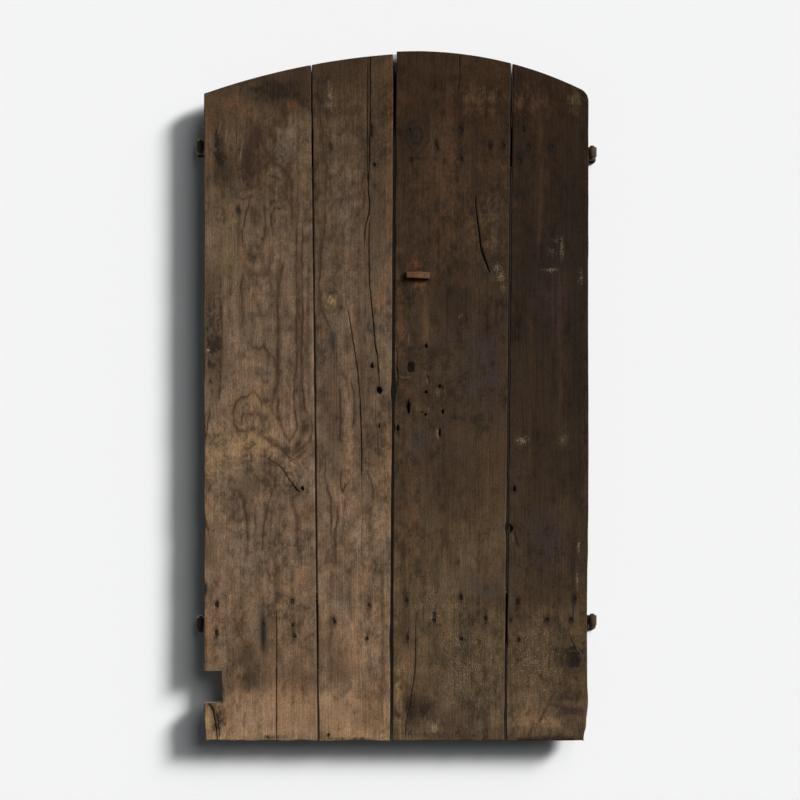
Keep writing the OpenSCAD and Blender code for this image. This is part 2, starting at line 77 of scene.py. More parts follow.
# Places on the boards, in metres, from the frame and from the leaves' driving sizes
FRONT_Y, BACK_Y = (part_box("left_outer_board")[i][1] for i in (0, 1))
DOOR_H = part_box("right_inner_board")[1][2]
HALF_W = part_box("right_outer_board")[1][0]
LEFT_ARCH = (150 * MM, 2140 * MM, 1997 * MM)
RIGHT_ARCH = (56 * MM, 1100 * MM, 2000 * MM)
TOP_CORNER_R = 42 * MM
LEFT_SEAM_LEAN, MEETING_LEAN, RIGHT_SEAM_LEAN = -20 * MM, 11 * MM, 20 * MM
LEFT_SEAM = (-228 * MM, -225 * MM)
MEETING_GAP = (-19 * MM, -12 * MM)
RIGHT_SEAM = (313 * MM, 318 * MM)
NOTCH_X, NOTCH_LOW, NOTCH_HIGH = -506 * MM, 109.5 * MM, 203 * MM
KEYHOLE = (42 * MM, 1084 * MM)
KEYHOLE_R, KEYHOLE_STRAIGHT = 9.5 * MM, 12 * MM
HEAD_HALF, HEAD_THICK = 4.5 * MM, 3 * MM
SPIKE_IN_WALL = 105 * MM
ROWS_BEND_FROM = 1500 * MM
NARROW_BOARD = 250 * MM

# Size of the lattice of random numbers, two primes, so that it repeats seldom
LATTICE = (257, 263)

# Weathering colours by name. The darkest is dirt, and it also paints the shade in cracks, holes, the keyhole
# and the seams' sides
STAINS = {
    "soot_and_shade": "#15110e", "char": "#1f1812", "umber": "#33251a", "brown": "#4a3524", "red": "#6b3c28",
    "orange": "#7d5132", "tan": "#8b6c4c", "straw": "#a1835c", "olive": "#564a2d", "moss": "#2f3424",
    "plum": "#35282a", "slate": "#2c2d2e", "grey": "#766758", "silver": "#8f7d68", "rose": "#8f6f55",
}

# Ways in which a line marks a board: half width and depth in millimetres, stain, and strength. The
# near-black stain of splits and cracks is dirt together with painted shade down the crack; graze and chalk
# flecks also get a painted shadow line beside them
MARKS = {
    "split": (1.25, 6.0, "soot_and_shade", 0.97),
    "crack": (1.05, 3.0, "soot_and_shade", 0.85),
    "check": (0.95, 1.2, "char", 0.7),
    "ring": (2.7, 0.4, "umber", 0.8),
    "faint": (3.6, 0.2, "umber", 0.42),
    "vein": (8.5, 0.3, "umber", 0.72),
    "smear": (7.0, 0.3, "umber", 0.45),
    "graze": (1.3, 0.5, "silver", 0.33),
    "chalk": (1.7, 0.0, "silver", 0.28),
    "rust": (2.6, 0.2, "brown", 0.5),
}

# Lines on each board: the mark, then column and row of each point in pixels of the photograph
LINES = {
    "left_outer_board": [
        ("split", 276.5, 612, 276.6, 650, 276.4, 700, 276.5, 741), ("faint", 277, 560, 276.6, 612),
        ("crack", 268, 459, 273, 462, 278, 464.5, 283, 470, 288, 478, 292, 484, 297, 490),
        ("split", 293, 486, 297, 490.5, 300, 492), ("crack", 205, 437, 206.5, 430, 208, 420, 210.5, 412),
        ("crack", 204.5, 517, 206, 525, 208.5, 532), ("graze", 206, 530, 208, 540, 207.5, 546),
        ("split", 204.4, 694, 206, 701, 210, 706, 213, 712, 215, 722, 216.5, 732, 217.5, 741),
        ("crack", 211, 708, 216, 713, 218.4, 722, 219, 738), ("graze", 206, 722, 209, 728, 211, 738),
        ("check", 267, 297, 267.6, 303, 268.5, 311), ("check", 236, 128, 236, 146, 235.5, 165),
        ("check", 204, 590, 205.5, 596), ("crack", 217, 600, 217.3, 608),
        ("ring", 217, 182, 220, 187, 226, 185, 231, 187),
        ("vein", 256.5, 129, 261, 138, 265, 150, 272, 161, 280, 168, 286, 174),
        ("vein", 256.5, 129, 252, 142, 248, 156, 247, 172),
        ("ring", 256.5, 128, 260, 134, 263, 145, 268, 155, 274, 163, 281, 167, 286, 173, 290, 180, 292,
         192, 291, 205, 292, 218),
        ("ring", 256.5, 128, 254, 134, 254.5, 141, 252, 150), ("smear", 247, 150, 246, 165, 244, 176),
        ("ring", 258, 150, 259, 165, 258.5, 180, 260, 192), ("faint", 253, 205, 254, 215, 256, 226),
        ("faint", 240, 190, 250, 188, 262, 189), ("graze", 240, 194, 250, 192.5, 262, 196),
        ("ring", 233, 197, 243, 199, 254, 196), ("ring", 249, 198, 248, 208, 245, 218, 243, 232, 242, 246),
        ("ring", 264, 205, 265, 218, 266, 230, 263, 240),
        ("ring", 284, 207, 279, 209, 275, 208, 271, 214, 271, 225, 273, 234),
        ("ring", 268, 176, 275, 177, 281, 180),
        ("faint", 300, 128, 297, 145, 297, 160, 298.5, 175, 297.5, 200, 297, 240),
        ("faint", 287, 140, 290, 155, 290, 170, 292, 185), ("ring", 243, 274, 241, 285, 242, 300),
        ("ring", 220, 300, 221.5, 330, 221, 370, 219, 400),
        ("vein", 279, 262, 277.5, 300, 278.5, 350, 276, 400), ("faint", 242, 300, 243, 320, 240, 335),
        ("ring", 284, 262, 282, 270, 279, 285, 277, 300, 279, 320, 278, 340, 278.5, 360, 277, 385, 273,
         395, 270, 401, 265, 403),
        ("faint", 262, 250, 263, 262, 268, 275, 271, 262, 273, 250),
        ("faint", 245, 274, 255, 276, 265, 274, 272, 270),
        ("ring", 297, 222, 296.5, 260, 297, 300, 296.5, 340, 297, 360, 295, 380, 294, 400, 296, 415, 297,
         428, 293, 436, 289.5, 442),
        ("ring", 302.5, 222, 302, 260, 302.5, 300, 302, 350, 302, 380, 303, 390, 305, 410, 310, 418, 312,
         428, 311, 440, 303, 447, 297, 452, 290, 458),
        ("smear", 299.5, 225, 299, 300, 299, 380, 300, 410, 304, 428, 299, 440, 292, 447),
        ("vein", 306, 425, 301, 440, 292, 452, 283, 446, 270, 438),
        ("faint", 309, 230, 308.5, 300, 308, 370, 309, 400),
        ("ring", 290, 458, 285, 452, 281, 448, 273, 444, 268, 439, 263, 436, 258, 430, 251, 430, 245, 431,
         238, 430, 234, 424, 233, 412, 236, 403, 242, 397, 248, 396, 253, 391, 258, 395, 262, 402),
        ("ring", 289.5, 441, 285, 436, 281, 425, 278, 412, 278, 398),
        ("ring", 242, 425, 241, 418, 244, 413, 250, 414, 255, 413, 259, 415, 262, 422),
        ("ring", 289, 462, 294, 459, 300, 456, 306, 450),
        ("ring", 252, 350, 256, 347, 259, 350, 263, 346, 266, 350), ("ring", 266, 352, 273, 356, 277, 366),
        ("faint", 251, 318, 254, 326, 253, 336), ("faint", 240, 212, 239, 225, 238, 245),
        ("faint", 245, 495, 248, 520, 246, 560), ("faint", 253, 498, 256, 530, 255, 560),
        ("ring", 276, 476, 274, 490, 268, 505, 264, 525, 262, 550),
        ("faint", 280, 492, 272, 508, 270, 530, 270, 560), ("ring", 236, 490, 243, 498, 246, 515, 248, 540),
        ("faint", 292, 498, 296, 515, 297, 540, 296, 560),
        ("rust", 292, 565, 292, 580, 294.5, 600, 293.5, 615, 292, 640), ("check", 291, 600, 290.6, 604),
        ("check", 293, 630, 293.6, 640), ("rust", 234, 618, 235, 626, 239, 636, 247, 645),
        ("smear", 263, 615, 263.4, 625, 263, 648), ("graze", 228, 128, 226, 140, 228, 152),
        ("graze", 221, 120, 219, 134), ("graze", 240, 132, 243, 140, 240, 160),
        ("graze", 238, 250, 236, 290), ("graze", 244, 215, 242, 228),
        ("smear", 273, 103, 278, 105, 282, 110),
    ],
    "left_inner_board": [
        ("crack", 367.4, 52, 367.6, 90, 367.2, 125, 367, 150, 367, 172, 367.6, 190),
        ("split", 370, 52, 370.3, 90, 370, 125, 369.5, 150, 368.6, 175, 368, 190, 369.6, 205, 369, 213,
         366, 223, 364.6, 233, 364, 246),
        ("check", 364, 246, 363.5, 262),
        ("split", 369.2, 222, 368.8, 245, 369, 262, 369.6, 284, 371.4, 306, 373, 320, 374, 332, 375, 345,
         377.4, 358, 378.6, 372, 379, 386),
        ("check", 375.5, 400, 375.4, 420, 377.4, 430, 377.5, 450, 378.4, 470),
        ("crack", 345.5, 302, 348, 311, 350.4, 325, 352.4, 340, 354.4, 352, 357, 368, 358.6, 384, 360, 400,
         361, 430, 361.6, 452),
        ("split", 360, 400, 361, 430, 361.6, 455, 361.4, 476),
        ("check", 361.4, 476, 361.7, 500, 362, 520, 361.4, 540, 361, 558),
        ("check", 330, 328, 332, 342, 334, 355, 336, 365, 338, 375, 339.6, 386),
        ("ring", 339.6, 386, 340.2, 410, 340, 442), ("smear", 332.5, 330, 333, 340, 334, 350),
        ("check", 331.5, 295, 330.6, 299, 329, 303),
        ("ring", 319, 110, 321, 125, 323, 145, 323.5, 160, 327, 167, 326.5, 185, 325, 200),
        ("ring", 325, 204, 325.3, 218, 324.4, 232, 321.6, 248, 320, 264),
        ("ring", 320, 264, 319, 285, 320, 305, 325, 318, 330, 328),
        ("graze", 355.6, 114, 355.7, 124, 355.3, 132), ("smear", 358, 104, 357, 122, 355, 136),
        ("split", 371.4, 124, 372, 131, 371.6, 137), ("smear", 372, 115, 372.6, 130, 372, 145),
        ("graze", 328.5, 80, 328, 90, 330, 97, 334, 103, 337, 110), ("graze", 325, 104, 331, 106, 333, 111),
        ("ring", 363, 172, 362.4, 185, 364, 197, 362, 210),
        ("ring", 341, 470, 340.5, 486, 343, 492, 345, 486, 349, 482),
        ("ring", 326, 462, 325.4, 478, 327, 488, 331, 500, 331.5, 520, 330, 535),
        ("ring", 338, 505, 338, 520, 334, 535, 335, 560), ("faint", 345, 500, 343, 520, 342, 545),
        ("ring", 367, 470, 371, 480, 373, 500), ("faint", 371, 500, 370, 520, 371, 545),
        ("faint", 352, 560, 349, 590, 352, 620), ("faint", 335, 60, 334, 95, 335, 120),
        ("faint", 344, 60, 345, 100, 343, 130), ("faint", 380, 60, 379, 100, 378, 150),
        ("faint", 338, 360, 346, 380, 350, 400), ("faint", 330, 560, 331, 620, 330, 690),
        ("faint", 382, 560, 383, 640, 381, 720), ("smear", 355, 300, 357, 320, 354, 335),
        ("ring", 352, 380, 354, 400, 353, 430), ("rust", 368, 604, 366, 612, 364, 622),
        ("smear", 333, 617, 331, 626),
    ],
    "right_inner_board": [
        ("crack", 459.8, 50, 459.4, 75, 457.4, 95, 456, 106), ("check", 456, 106, 455, 120),
        ("smear", 471, 130, 471, 160, 473, 185),
        ("split", 475, 195, 475.6, 206, 477, 220, 478.4, 231, 480, 245, 482.6, 256, 486, 264, 489.6, 273),
        ("split", 482, 254, 486, 262.5, 489.6, 272.5),
        ("vein", 475, 192, 476, 210, 478.4, 231, 481, 248, 486, 264),
        ("crack", 475.8, 206, 477.6, 220, 479.2, 232, 481, 246, 485, 258),
        ("vein", 472, 134, 474, 150, 474.5, 175, 475, 198), ("check", 404.6, 175, 403.4, 195, 401.6, 226),
        ("faint", 401.6, 226, 400, 245), ("check", 480, 350, 477.4, 362, 475.6, 376),
        ("smear", 462, 316, 469, 310, 476, 303), ("chalk", 458, 318, 462, 315),
        ("faint", 426, 300, 426.4, 320, 426, 345), ("ring", 500, 340, 501, 358, 498, 372),
        ("faint", 505, 345, 505, 370), ("check", 400, 381, 406, 379.6, 412, 378.5, 419, 376.6),
        ("graze", 399.5, 376.5, 406, 378, 412, 376.6), ("crack", 426.4, 374, 427.6, 377, 429, 381),
        ("chalk", 426.8, 379, 428, 384), ("crack", 438.6, 385.6, 441.5, 386.4, 443, 390),
        ("crack", 413.6, 411.6, 419, 412, 423.6, 413), ("crack", 424, 413, 426, 416),
        ("chalk", 428, 408, 428.6, 415, 427.5, 418), ("crack", 442.4, 409.5, 442, 414),
        ("crack", 438, 428, 440, 430, 440, 438), ("chalk", 436.6, 430, 437.6, 437, 438, 440),
        ("split", 406.2, 402, 408, 406, 409.4, 412), ("smear", 409, 344, 409.4, 353),
        ("graze", 408.6, 335, 408.6, 345), ("crack", 396, 347, 397.4, 358, 396.4, 366),
        ("split", 396.4, 366, 398, 376, 397.4, 386), ("ring", 425, 383, 432, 392, 438, 398),
        ("ring", 399, 390, 404, 398, 410, 398),
        ("crack", 415.6, 622, 415.4, 645, 415, 662, 413.6, 680, 411, 695, 408.4, 710, 406, 722, 404.4, 741),
        ("check", 423.6, 580, 423.4, 610, 423.6, 642), ("faint", 437.6, 560, 437, 600),
        ("ring", 405, 585, 404, 600), ("smear", 406, 588, 405, 610, 406, 645),
        ("faint", 448, 70, 447, 120, 449, 170), ("faint", 466, 120, 464, 170, 466, 220),
        ("faint", 432, 180, 434, 240, 431, 300), ("faint", 495, 390, 493, 450, 494, 520),
        ("faint", 470, 400, 468, 470, 470, 540), ("faint", 405, 450, 404, 520, 405, 580),
        ("rust", 395.4, 366, 395.6, 384), ("faint", 448, 440, 447, 520, 450, 580),
    ],
    "right_outer_board": [
        ("crack", 513.6, 530, 516, 540, 518.4, 547), ("graze", 511.5, 534, 514, 541),
        ("check", 571, 560, 572, 580, 573, 600, 573, 622),
        ("crack", 570, 636, 572.5, 643, 576, 650, 580, 656), ("graze", 577, 648, 580, 652, 583, 656),
        ("ring", 562, 694, 568, 691, 574, 694, 580, 692), ("ring", 562, 700, 570, 698, 580, 700),
        ("graze", 560, 697, 568, 696, 576, 698), ("vein", 556, 701, 564, 695, 572, 699, 580, 694, 586, 697),
        ("smear", 555, 706, 568, 710, 586, 716), ("ring", 545, 703, 560, 706, 585, 712),
        ("ring", 556, 690, 548, 705, 540, 722), ("graze", 560, 708, 548, 720, 540, 730),
        ("faint", 566, 655, 565, 668, 572, 676), ("ring", 562, 666, 566, 674, 575, 678),
        ("faint", 540, 110, 541, 180, 539, 260), ("faint", 560, 280, 561, 360, 559, 440),
        ("faint", 530, 300, 531, 400, 529, 470), ("faint", 524, 540, 523, 600, 525, 680),
        ("smear", 577, 125, 576, 145, 575, 165), ("smear", 520, 736.5, 550, 736, 578, 735.5),
        ("faint", 548, 580, 550, 640, 548, 690),
    ],
}

# Soft patches on each leaf: stain, column, row, half width and half height in pixels, and strength
PATCHES = {
    "left": [
        ("char", 280, 90, 28, 13, 0.62), ("char", 262, 96, 12, 9, 0.4), ("grey", 288, 150, 14, 30, 0.22),
        ("grey", 262, 215, 20, 26, 0.14), ("red", 232, 106, 9, 7, 0.16), ("red", 292, 105, 12, 6, 0.18),
        ("umber", 300, 74, 14, 12, 0.35), ("brown", 215, 115, 10, 22, 0.3),
        ("umber", 226, 160, 12, 22, 0.42), ("char", 222, 158, 8, 26, 0.5), ("umber", 224, 176, 11, 12, 0.6),
        ("umber", 248, 170, 12, 22, 0.6), ("umber", 250, 160, 7, 16, 0.35),
        ("umber", 256.5, 137, 5, 12, 0.7), ("char", 238.5, 210, 3, 6, 0.7), ("slate", 236, 192, 9, 6, 0.3),
        ("umber", 255, 215, 5, 14, 0.35), ("olive", 228, 262, 12, 34, 0.3),
        ("straw", 230, 240, 9, 30, 0.06), ("char", 213, 355, 11, 48, 0.5), ("umber", 211, 300, 8, 40, 0.3),
        ("umber", 241, 305, 5, 30, 0.22), ("umber", 285, 302, 4, 30, 0.2), ("umber", 278, 380, 3, 40, 0.25),
        ("slate", 265, 373, 9, 4, 0.32), ("olive", 247, 372, 12, 5, 0.28), ("umber", 260, 315, 12, 4, 0.28),
        ("red", 237, 408, 5, 12, 0.18), ("straw", 255, 445, 28, 14, 0.3), ("straw", 216, 455, 12, 28, 0.24),
        ("tan", 262, 420, 34, 40, 0.2), ("umber", 271, 463, 8, 5, 0.4), ("umber", 290, 492, 14, 9, 0.34),
        ("tan", 297, 466, 9, 7, 0.25), ("umber", 248, 488, 14, 12, 0.2),
        ("char", 302.5, 489, 1.6, 1.8, 0.75), ("umber", 299, 450, 7, 5, 0.35),
        ("grey", 262, 540, 34, 40, 0.16), ("umber", 209, 548, 7, 26, 0.25),
        ("char", 205.7, 589, 1.6, 6, 0.7), ("slate", 262, 625, 8, 22, 0.26),
        ("slate", 263.2, 634, 3, 17, 0.75), ("char", 263.2, 636, 2, 14, 0.6),
        ("umber", 248, 650, 10, 14, 0.45), ("umber", 252, 674, 14, 14, 0.42),
        ("char", 217.4, 604, 2, 4, 0.8), ("char", 216.6, 633, 2, 6, 0.7), ("char", 291, 602, 1.8, 3, 0.7),
        ("umber", 293, 634, 2.4, 6, 0.55), ("tan", 292, 600, 14, 24, 0.2),
        ("umber", 296, 672, 16, 12, 0.22), ("umber", 218, 690, 10, 8, 0.18),
        ("rose", 262, 716, 40, 17, 0.5), ("tan", 296, 706, 16, 22, 0.24), ("umber", 220, 712, 13, 24, 0.5),
        ("char", 267, 737.5, 22, 1.6, 0.45), ("umber", 212, 716, 3, 8, 0.3),
        ("straw", 208, 722, 3.4, 14, 0.6), ("umber", 345, 74, 26, 16, 0.45), ("olive", 386, 66, 5, 8, 0.3),
        ("orange", 390.5, 110, 3.5, 52, 0.16), ("orange", 388.5, 215, 3.5, 60, 0.14),
        ("char", 330.8, 145.6, 2.6, 4.5, 0.7), ("char", 374.4, 164.7, 2, 2, 0.8),
        ("char", 372.5, 130, 3, 10, 0.4), ("umber", 351, 112, 10, 6, 0.3), ("grey", 343, 205, 17, 55, 0.17),
        ("umber", 346, 150, 16, 10, 0.2), ("umber", 376, 220, 10, 60, 0.2),
        ("umber", 362, 330, 8, 60, 0.14), ("straw", 331, 300, 7, 7, 0.34), ("umber", 321, 302, 3, 12, 0.3),
        ("olive", 330, 309, 9, 5, 0.35), ("slate", 333, 341, 3, 11, 0.55), ("red", 323, 336, 6, 9, 0.2),
        ("umber", 347, 346, 4, 9, 0.4), ("slate", 368, 325, 3.4, 7, 0.35), ("slate", 371, 331, 2.6, 2, 0.6),
        ("orange", 380, 298, 5, 14, 0.3), ("rose", 350, 312, 5, 14, 0.2), ("umber", 366, 385, 9, 30, 0.32),
        ("slate", 377, 386, 4, 9, 0.3), ("char", 372.1, 366.3, 2, 2, 0.9),
        ("char", 379, 390.8, 2.6, 2.6, 0.95), ("umber", 379, 426.5, 3.6, 3.6, 0.5),
        ("umber", 367, 426, 3, 5, 0.45), ("rose", 350, 430, 5, 60, 0.25), ("tan", 387, 470, 5, 60, 0.24),
        ("umber", 330, 410, 9, 50, 0.18), ("slate", 341, 600, 14, 18, 0.22),
        ("char", 333.5, 619, 2, 2.6, 0.75), ("umber", 368, 607, 3, 6, 0.5),
        ("char", 365.5, 639.3, 1.6, 1.6, 0.6), ("umber", 337, 671, 16, 17, 0.42),
        ("umber", 330, 640, 12, 14, 0.2), ("rose", 358, 708, 7, 26, 0.12), ("rose", 340, 715, 24, 20, 0.24),
        ("rose", 352, 650, 28, 34, 0.2), ("umber", 372, 715, 12, 18, 0.26),
        ("umber", 386.5, 627, 3, 3, 0.4), ("char", 328, 735.5, 2, 1.6, 0.8),
        ("umber", 352, 738.5, 34, 1.6, 0.4), ("umber", 350, 716, 44, 22, 0.13),
    ],
    "right": [
        ("char", 417, 130, 17, 27, 0.5), ("char", 415, 136, 10, 16, 0.5), ("umber", 430, 78, 28, 22, 0.2),
        ("tan", 485, 98, 22, 9, 0.1), ("grey", 493, 216, 12, 30, 0.09), ("tan", 478, 225, 20, 34, 0.07),
        ("brown", 444, 160, 18, 60, 0.3), ("orange", 450, 170, 8, 26, 0.07),
        ("soot_and_shade", 461.4, 130, 2.7, 6.5, 0.9), ("soot_and_shade", 461.8, 154, 2.6, 7, 0.9),
        ("soot_and_shade", 436.4, 143, 2.4, 6, 0.75), ("soot_and_shade", 490.6, 145, 2.7, 4.4, 0.95),
        ("soot_and_shade", 503, 144, 2.3, 5.4, 0.9), ("char", 404, 150, 3, 8, 0.3), ("char", 474, 160, 3, 34, 0.4),
        ("slate", 485, 268, 5, 8, 0.5), ("char", 448, 217, 2.4, 3, 0.6), ("brown", 445, 215, 38, 50, 0.22),
        ("red", 412, 263, 13, 9, 0.24), ("orange", 400, 320, 6, 50, 0.1), ("char", 418, 270, 4, 1.4, 0.7),
        ("orange", 420, 285, 8, 5, 0.2), ("tan", 426, 322, 3, 24, 0.24), ("char", 495, 262, 8, 12, 0.35),
        ("char", 455, 305, 18, 26, 0.24), ("plum", 450, 330, 16, 12, 0.2), ("slate", 508, 322, 4, 30, 0.4),
        ("plum", 492, 370, 18, 40, 0.36), ("slate", 476, 365, 22, 36, 0.18),
        ("char", 409, 350, 4, 4.6, 0.5), ("char", 409.6, 358, 5, 4, 0.35), ("char", 405, 379, 5, 3, 0.4),
        ("char", 426, 346, 1.6, 1.8, 0.9), ("char", 433, 352, 6, 6, 0.3), ("char", 426, 392, 1.6, 1.8, 0.9),
        ("char", 440, 387, 4, 2.6, 0.4), ("brown", 438, 391.5, 3.4, 4, 0.4), ("umber", 424, 395, 8, 7, 0.4),
        ("umber", 455, 470, 55, 60, 0.22), ("char", 424, 418, 12, 8, 0.16),
        ("char", 425.4, 414.6, 1.6, 1.6, 0.9), ("char", 408, 407, 3, 6.5, 0.8),
        ("slate", 419, 436, 12, 14, 0.3), ("plum", 444, 430, 7, 18, 0.3),
        ("brown", 437.4, 434, 1.6, 4.6, 0.4), ("plum", 413.6, 461, 4.4, 4.6, 0.7),
        ("brown", 406, 392, 8, 8, 0.35), ("red", 401, 386, 2, 4, 0.25), ("char", 398, 432, 2.6, 4, 0.8),
        ("brown", 402, 432, 3, 12, 0.3), ("orange", 408, 530, 12, 60, 0.08),
        ("char", 405.4, 597, 4, 10, 0.42), ("char", 406, 633, 5, 14, 0.3), ("straw", 399, 700, 4, 30, 0.25),
        ("soot_and_shade", 460.4, 596, 2, 5.5, 0.95), ("soot_and_shade", 434.8, 614, 2.2, 4, 0.75),
        ("char", 439, 625, 3, 1.4, 0.5), ("soot_and_shade", 485.6, 616, 1.8, 3.4, 0.6),
        ("soot_and_shade", 461, 639, 2.2, 4.6, 0.75), ("slate", 480, 590, 26, 14, 0.25),
        ("umber", 420, 704, 20, 15, 0.7), ("char", 414, 712, 10, 11, 0.5), ("umber", 452, 722, 12, 12, 0.5),
        ("straw", 434, 728, 6, 7, 0.14), ("brown", 470, 660, 26, 34, 0.2), ("umber", 450, 736, 40, 4, 0.5),
        ("char", 543, 420, 34, 120, 0.22), ("char", 576, 330, 12, 210, 0.34),
        ("char", 525, 250, 12, 60, 0.2), ("olive", 576, 101, 8, 7, 0.5), ("orange", 521, 104, 4.6, 11, 0.1),
        ("brown", 535, 100, 12, 14, 0.3), ("char", 577, 134, 4, 10, 0.5), ("char", 575, 152, 6, 12, 0.45),
        ("char", 570, 180, 16, 70, 0.3), ("soot_and_shade", 519, 156, 2.6, 7, 0.9),
        ("soot_and_shade", 529, 145.6, 2.4, 4.4, 0.7), ("soot_and_shade", 549.6, 147, 2.6, 6, 0.7),
        ("char", 519.5, 127, 2, 7, 0.5), ("char", 548, 262, 20, 30, 0.35), ("plum", 556, 300, 12, 40, 0.2),
        ("brown", 522.5, 440, 5, 5, 0.45), ("olive", 562.5, 441, 4, 5, 0.3),
        ("char", 514, 489, 2.4, 3.6, 0.8), ("char", 519, 478, 1.8, 1.8, 0.7),
        ("umber", 541, 480, 20, 26, 0.2), ("plum", 545, 540, 22, 36, 0.4), ("char", 545, 590, 26, 20, 0.25),
        ("char", 573, 570, 3, 30, 0.4), ("soot_and_shade", 517.6, 602, 2.4, 3.6, 0.6),
        ("soot_and_shade", 510.5, 620, 2, 4, 0.7), ("soot_and_shade", 546, 620, 2.4, 4, 0.7),
        ("soot_and_shade", 570.5, 620, 2.6, 4.4, 0.7), ("soot_and_shade", 519, 641, 2.2, 4.6, 0.7),
        ("soot_and_shade", 573.6, 599, 2.2, 3.6, 0.7), ("char", 573, 660, 12, 13, 0.85),
        ("soot_and_shade", 574, 661, 8, 8, 0.4), ("olive", 556, 672, 18, 8, 0.3), ("slate", 568, 696, 13, 6, 0.6),
        ("plum", 572, 710, 16, 6, 0.8), ("tan", 540, 720, 26, 12, 0.32), ("brown", 535, 655, 24, 34, 0.16),
        ("red", 534, 718, 9, 8, 0.1), ("char", 545, 738.5, 34, 3, 0.85), ("umber", 581, 728, 3.6, 9, 0.5),
        ("char", 510.6, 528.4, 2.6, 3.4, 0.9),
    ],
}

# Speckled pale deposits on each leaf: column, row, half width and half height in pixels, and amount
BLOOM = {
    "left": [
        (330, 92, 3, 12, 0.4), (331, 106, 7, 2.5, 0.4), (208, 350, 2, 2, 0.8), (245, 192, 13, 2.5, 0.2),
        (338, 605, 10, 10, 0.3), (250, 715, 40, 14, 0.2), (344, 716, 26, 16, 0.2),
    ],
    "right": [
        (562, 249, 1.8, 12, 0.45), (556, 240, 4, 3, 0.4), (552, 252, 5, 6, 0.3), (549, 270, 9, 2, 0.5),
        (497, 267, 5, 5, 0.42), (501, 277, 4, 6, 0.5), (503, 287, 3, 5, 0.42), (581, 279, 2.5, 9, 0.4),
        (522.5, 440, 6, 5, 0.5), (562.5, 441, 6, 6, 0.26), (578.5, 546, 1.4, 6, 0.7),
        (577, 577, 1.4, 12, 0.5), (434, 728, 9, 8, 0.36), (430, 268, 26, 12, 0.12),
        (468, 665, 44, 56, 0.29), (440, 600, 30, 26, 0.27), (535, 665, 30, 50, 0.27), (438, 392, 4, 5, 0.2),
        (428, 381, 2, 4, 0.15), (437.5, 434, 1.8, 5, 0.3), (461, 316, 3, 2, 0.2), (420, 500, 20, 40, 0.12),
    ],
}

# Dents in the edges of a board: height in pixels, half height in pixels, and depth in millimetres
EDGE_DENTS = {
    ("left_outer_board", "left"): [(437, 4, 2.5), (522, 7, 4), (589, 6, 3), (741, 14, 5), (93, 3, 2)],
    ("left_outer_board", "right"): [(741, 3, 1)],
    ("left_inner_board", "left"): [(736, 4, 1)],
    ("left_inner_board", "right"): [
        (60, 14, 2.5), (393, 7, 3), (640, 14, 2.5), (700, 40, -1.0), (440, 40, -1.2),
    ],
    ("right_inner_board", "left"): [
        (60, 14, 3), (390, 9, 4.5), (428, 4, 5), (445, 30, -1.4), (550, 60, -1.2),
    ],
    ("right_inner_board", "right"): [(528, 4, 4), (715, 5, 1.5)],
    ("right_outer_board", "left"): [(528, 3.4, 7), (66, 6, 1)],
    ("right_outer_board", "right"): [
        (600, 60, 3.5), (640, 40, 1.5), (680, 20, 2), (722, 14, 6), (736, 7, 10), (741, 4, 6),
        (300, 60, 0.6),
    ],
}

# Old empty holes: column and row in pixels, half width, half height and depth in millimetres
PITS = {
    "left_inner_board": [
        (372.1, 366.3, 4.2, 5.0, 15), (379, 390.8, 6.2, 6.6, 16), (379, 426, 3.4, 3.6, 7),
        (374.4, 164.7, 3.4, 3.6, 5), (328, 735.5, 3.6, 3.0, 6),
    ],
    "left_outer_board": [(302, 489, 4.0, 4.4, 9)],
    "right_inner_board": [
        (408, 407, 5.0, 16.5, 16), (426, 346, 3.6, 4.0, 14), (426, 392, 3.6, 4.0, 14),
        (439.6, 386.4, 4.5, 3.4, 14), (425.4, 414.8, 3.4, 3.8, 14), (442.4, 411.5, 3.0, 5.0, 12),
        (439.6, 433, 3.4, 8.0, 10), (398, 428.4, 4.0, 9.0, 12),
    ],
    "right_outer_board": [(510.6, 528.4, 6.0, 8.0, 14), (514, 489, 3.4, 6.0, 8)],
}

# Knots: column, row, half width and half height in pixels, and how far they push the grain aside
KNOTS = {
    "left_outer_board": [
        (289, 480, 12, 16, 1.0), (246, 410, 9, 14, 0.6), (252, 165, 12, 26, 0.7), (260, 290, 14, 40, 0.5),
    ],
    "left_inner_board": [(330, 300, 10, 15, 1.0), (345, 485, 10, 18, 0.5), (364, 187, 5, 16, 0.5)],
    "right_inner_board": [(417, 136, 13, 20, 1.0), (413.6, 461, 7, 10, 0.8), (434, 728, 12, 14, 0.6)],
    "right_outer_board": [(573, 660, 14, 15, 1.0), (522, 440, 7, 10, 0.5), (572, 700, 14, 12, 0.6)],
}

# How light each board is beside its leaf's colours: above, below, and the height of the change
TONES = {
    "left_outer_board": (1.0, 0.95, 400 * MM), "left_inner_board": (0.79, 1.04, 740 * MM),
    "right_inner_board": (1.0, 0.96, 300 * MM), "right_outer_board": (0.6, 0.9, 400 * MM),
}

BOARDS = {
    "left_outer_board": ("left", -HALF_W, LEFT_SEAM[0], 0.0, LEFT_SEAM_LEAN),
    "left_inner_board": ("left", LEFT_SEAM[1], MEETING_GAP[0], LEFT_SEAM_LEAN, MEETING_LEAN),
    "right_inner_board": ("right", MEETING_GAP[1], RIGHT_SEAM[0], MEETING_LEAN, RIGHT_SEAM_LEAN),
    "right_outer_board": ("right", RIGHT_SEAM[1], HALF_W, RIGHT_SEAM_LEAN, 0.0),
}
NAIL_NODES = [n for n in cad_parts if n.endswith("_nails")]
LEDGES = [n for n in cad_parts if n.endswith("_ledge")]
STRAPS = [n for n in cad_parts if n.endswith("_strap")]
PINTLES = [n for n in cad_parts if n.endswith("_pintle")]


def body_of_node(node):
    """The moving body that carries a node: the leaf on its side, or the wall's pintles."""
    if node.endswith("_pintle"):
        return "wall_pintles"
    return "left_leaf" if "left" in node else "right_leaf"


def on_leaf(column, row):
    """Place of a pixel of the photograph on the front: x from the middle and z from the foot."""
    return (column - MIDDLE_COLUMN) * PX, (FOOT_ROW - row) * PX


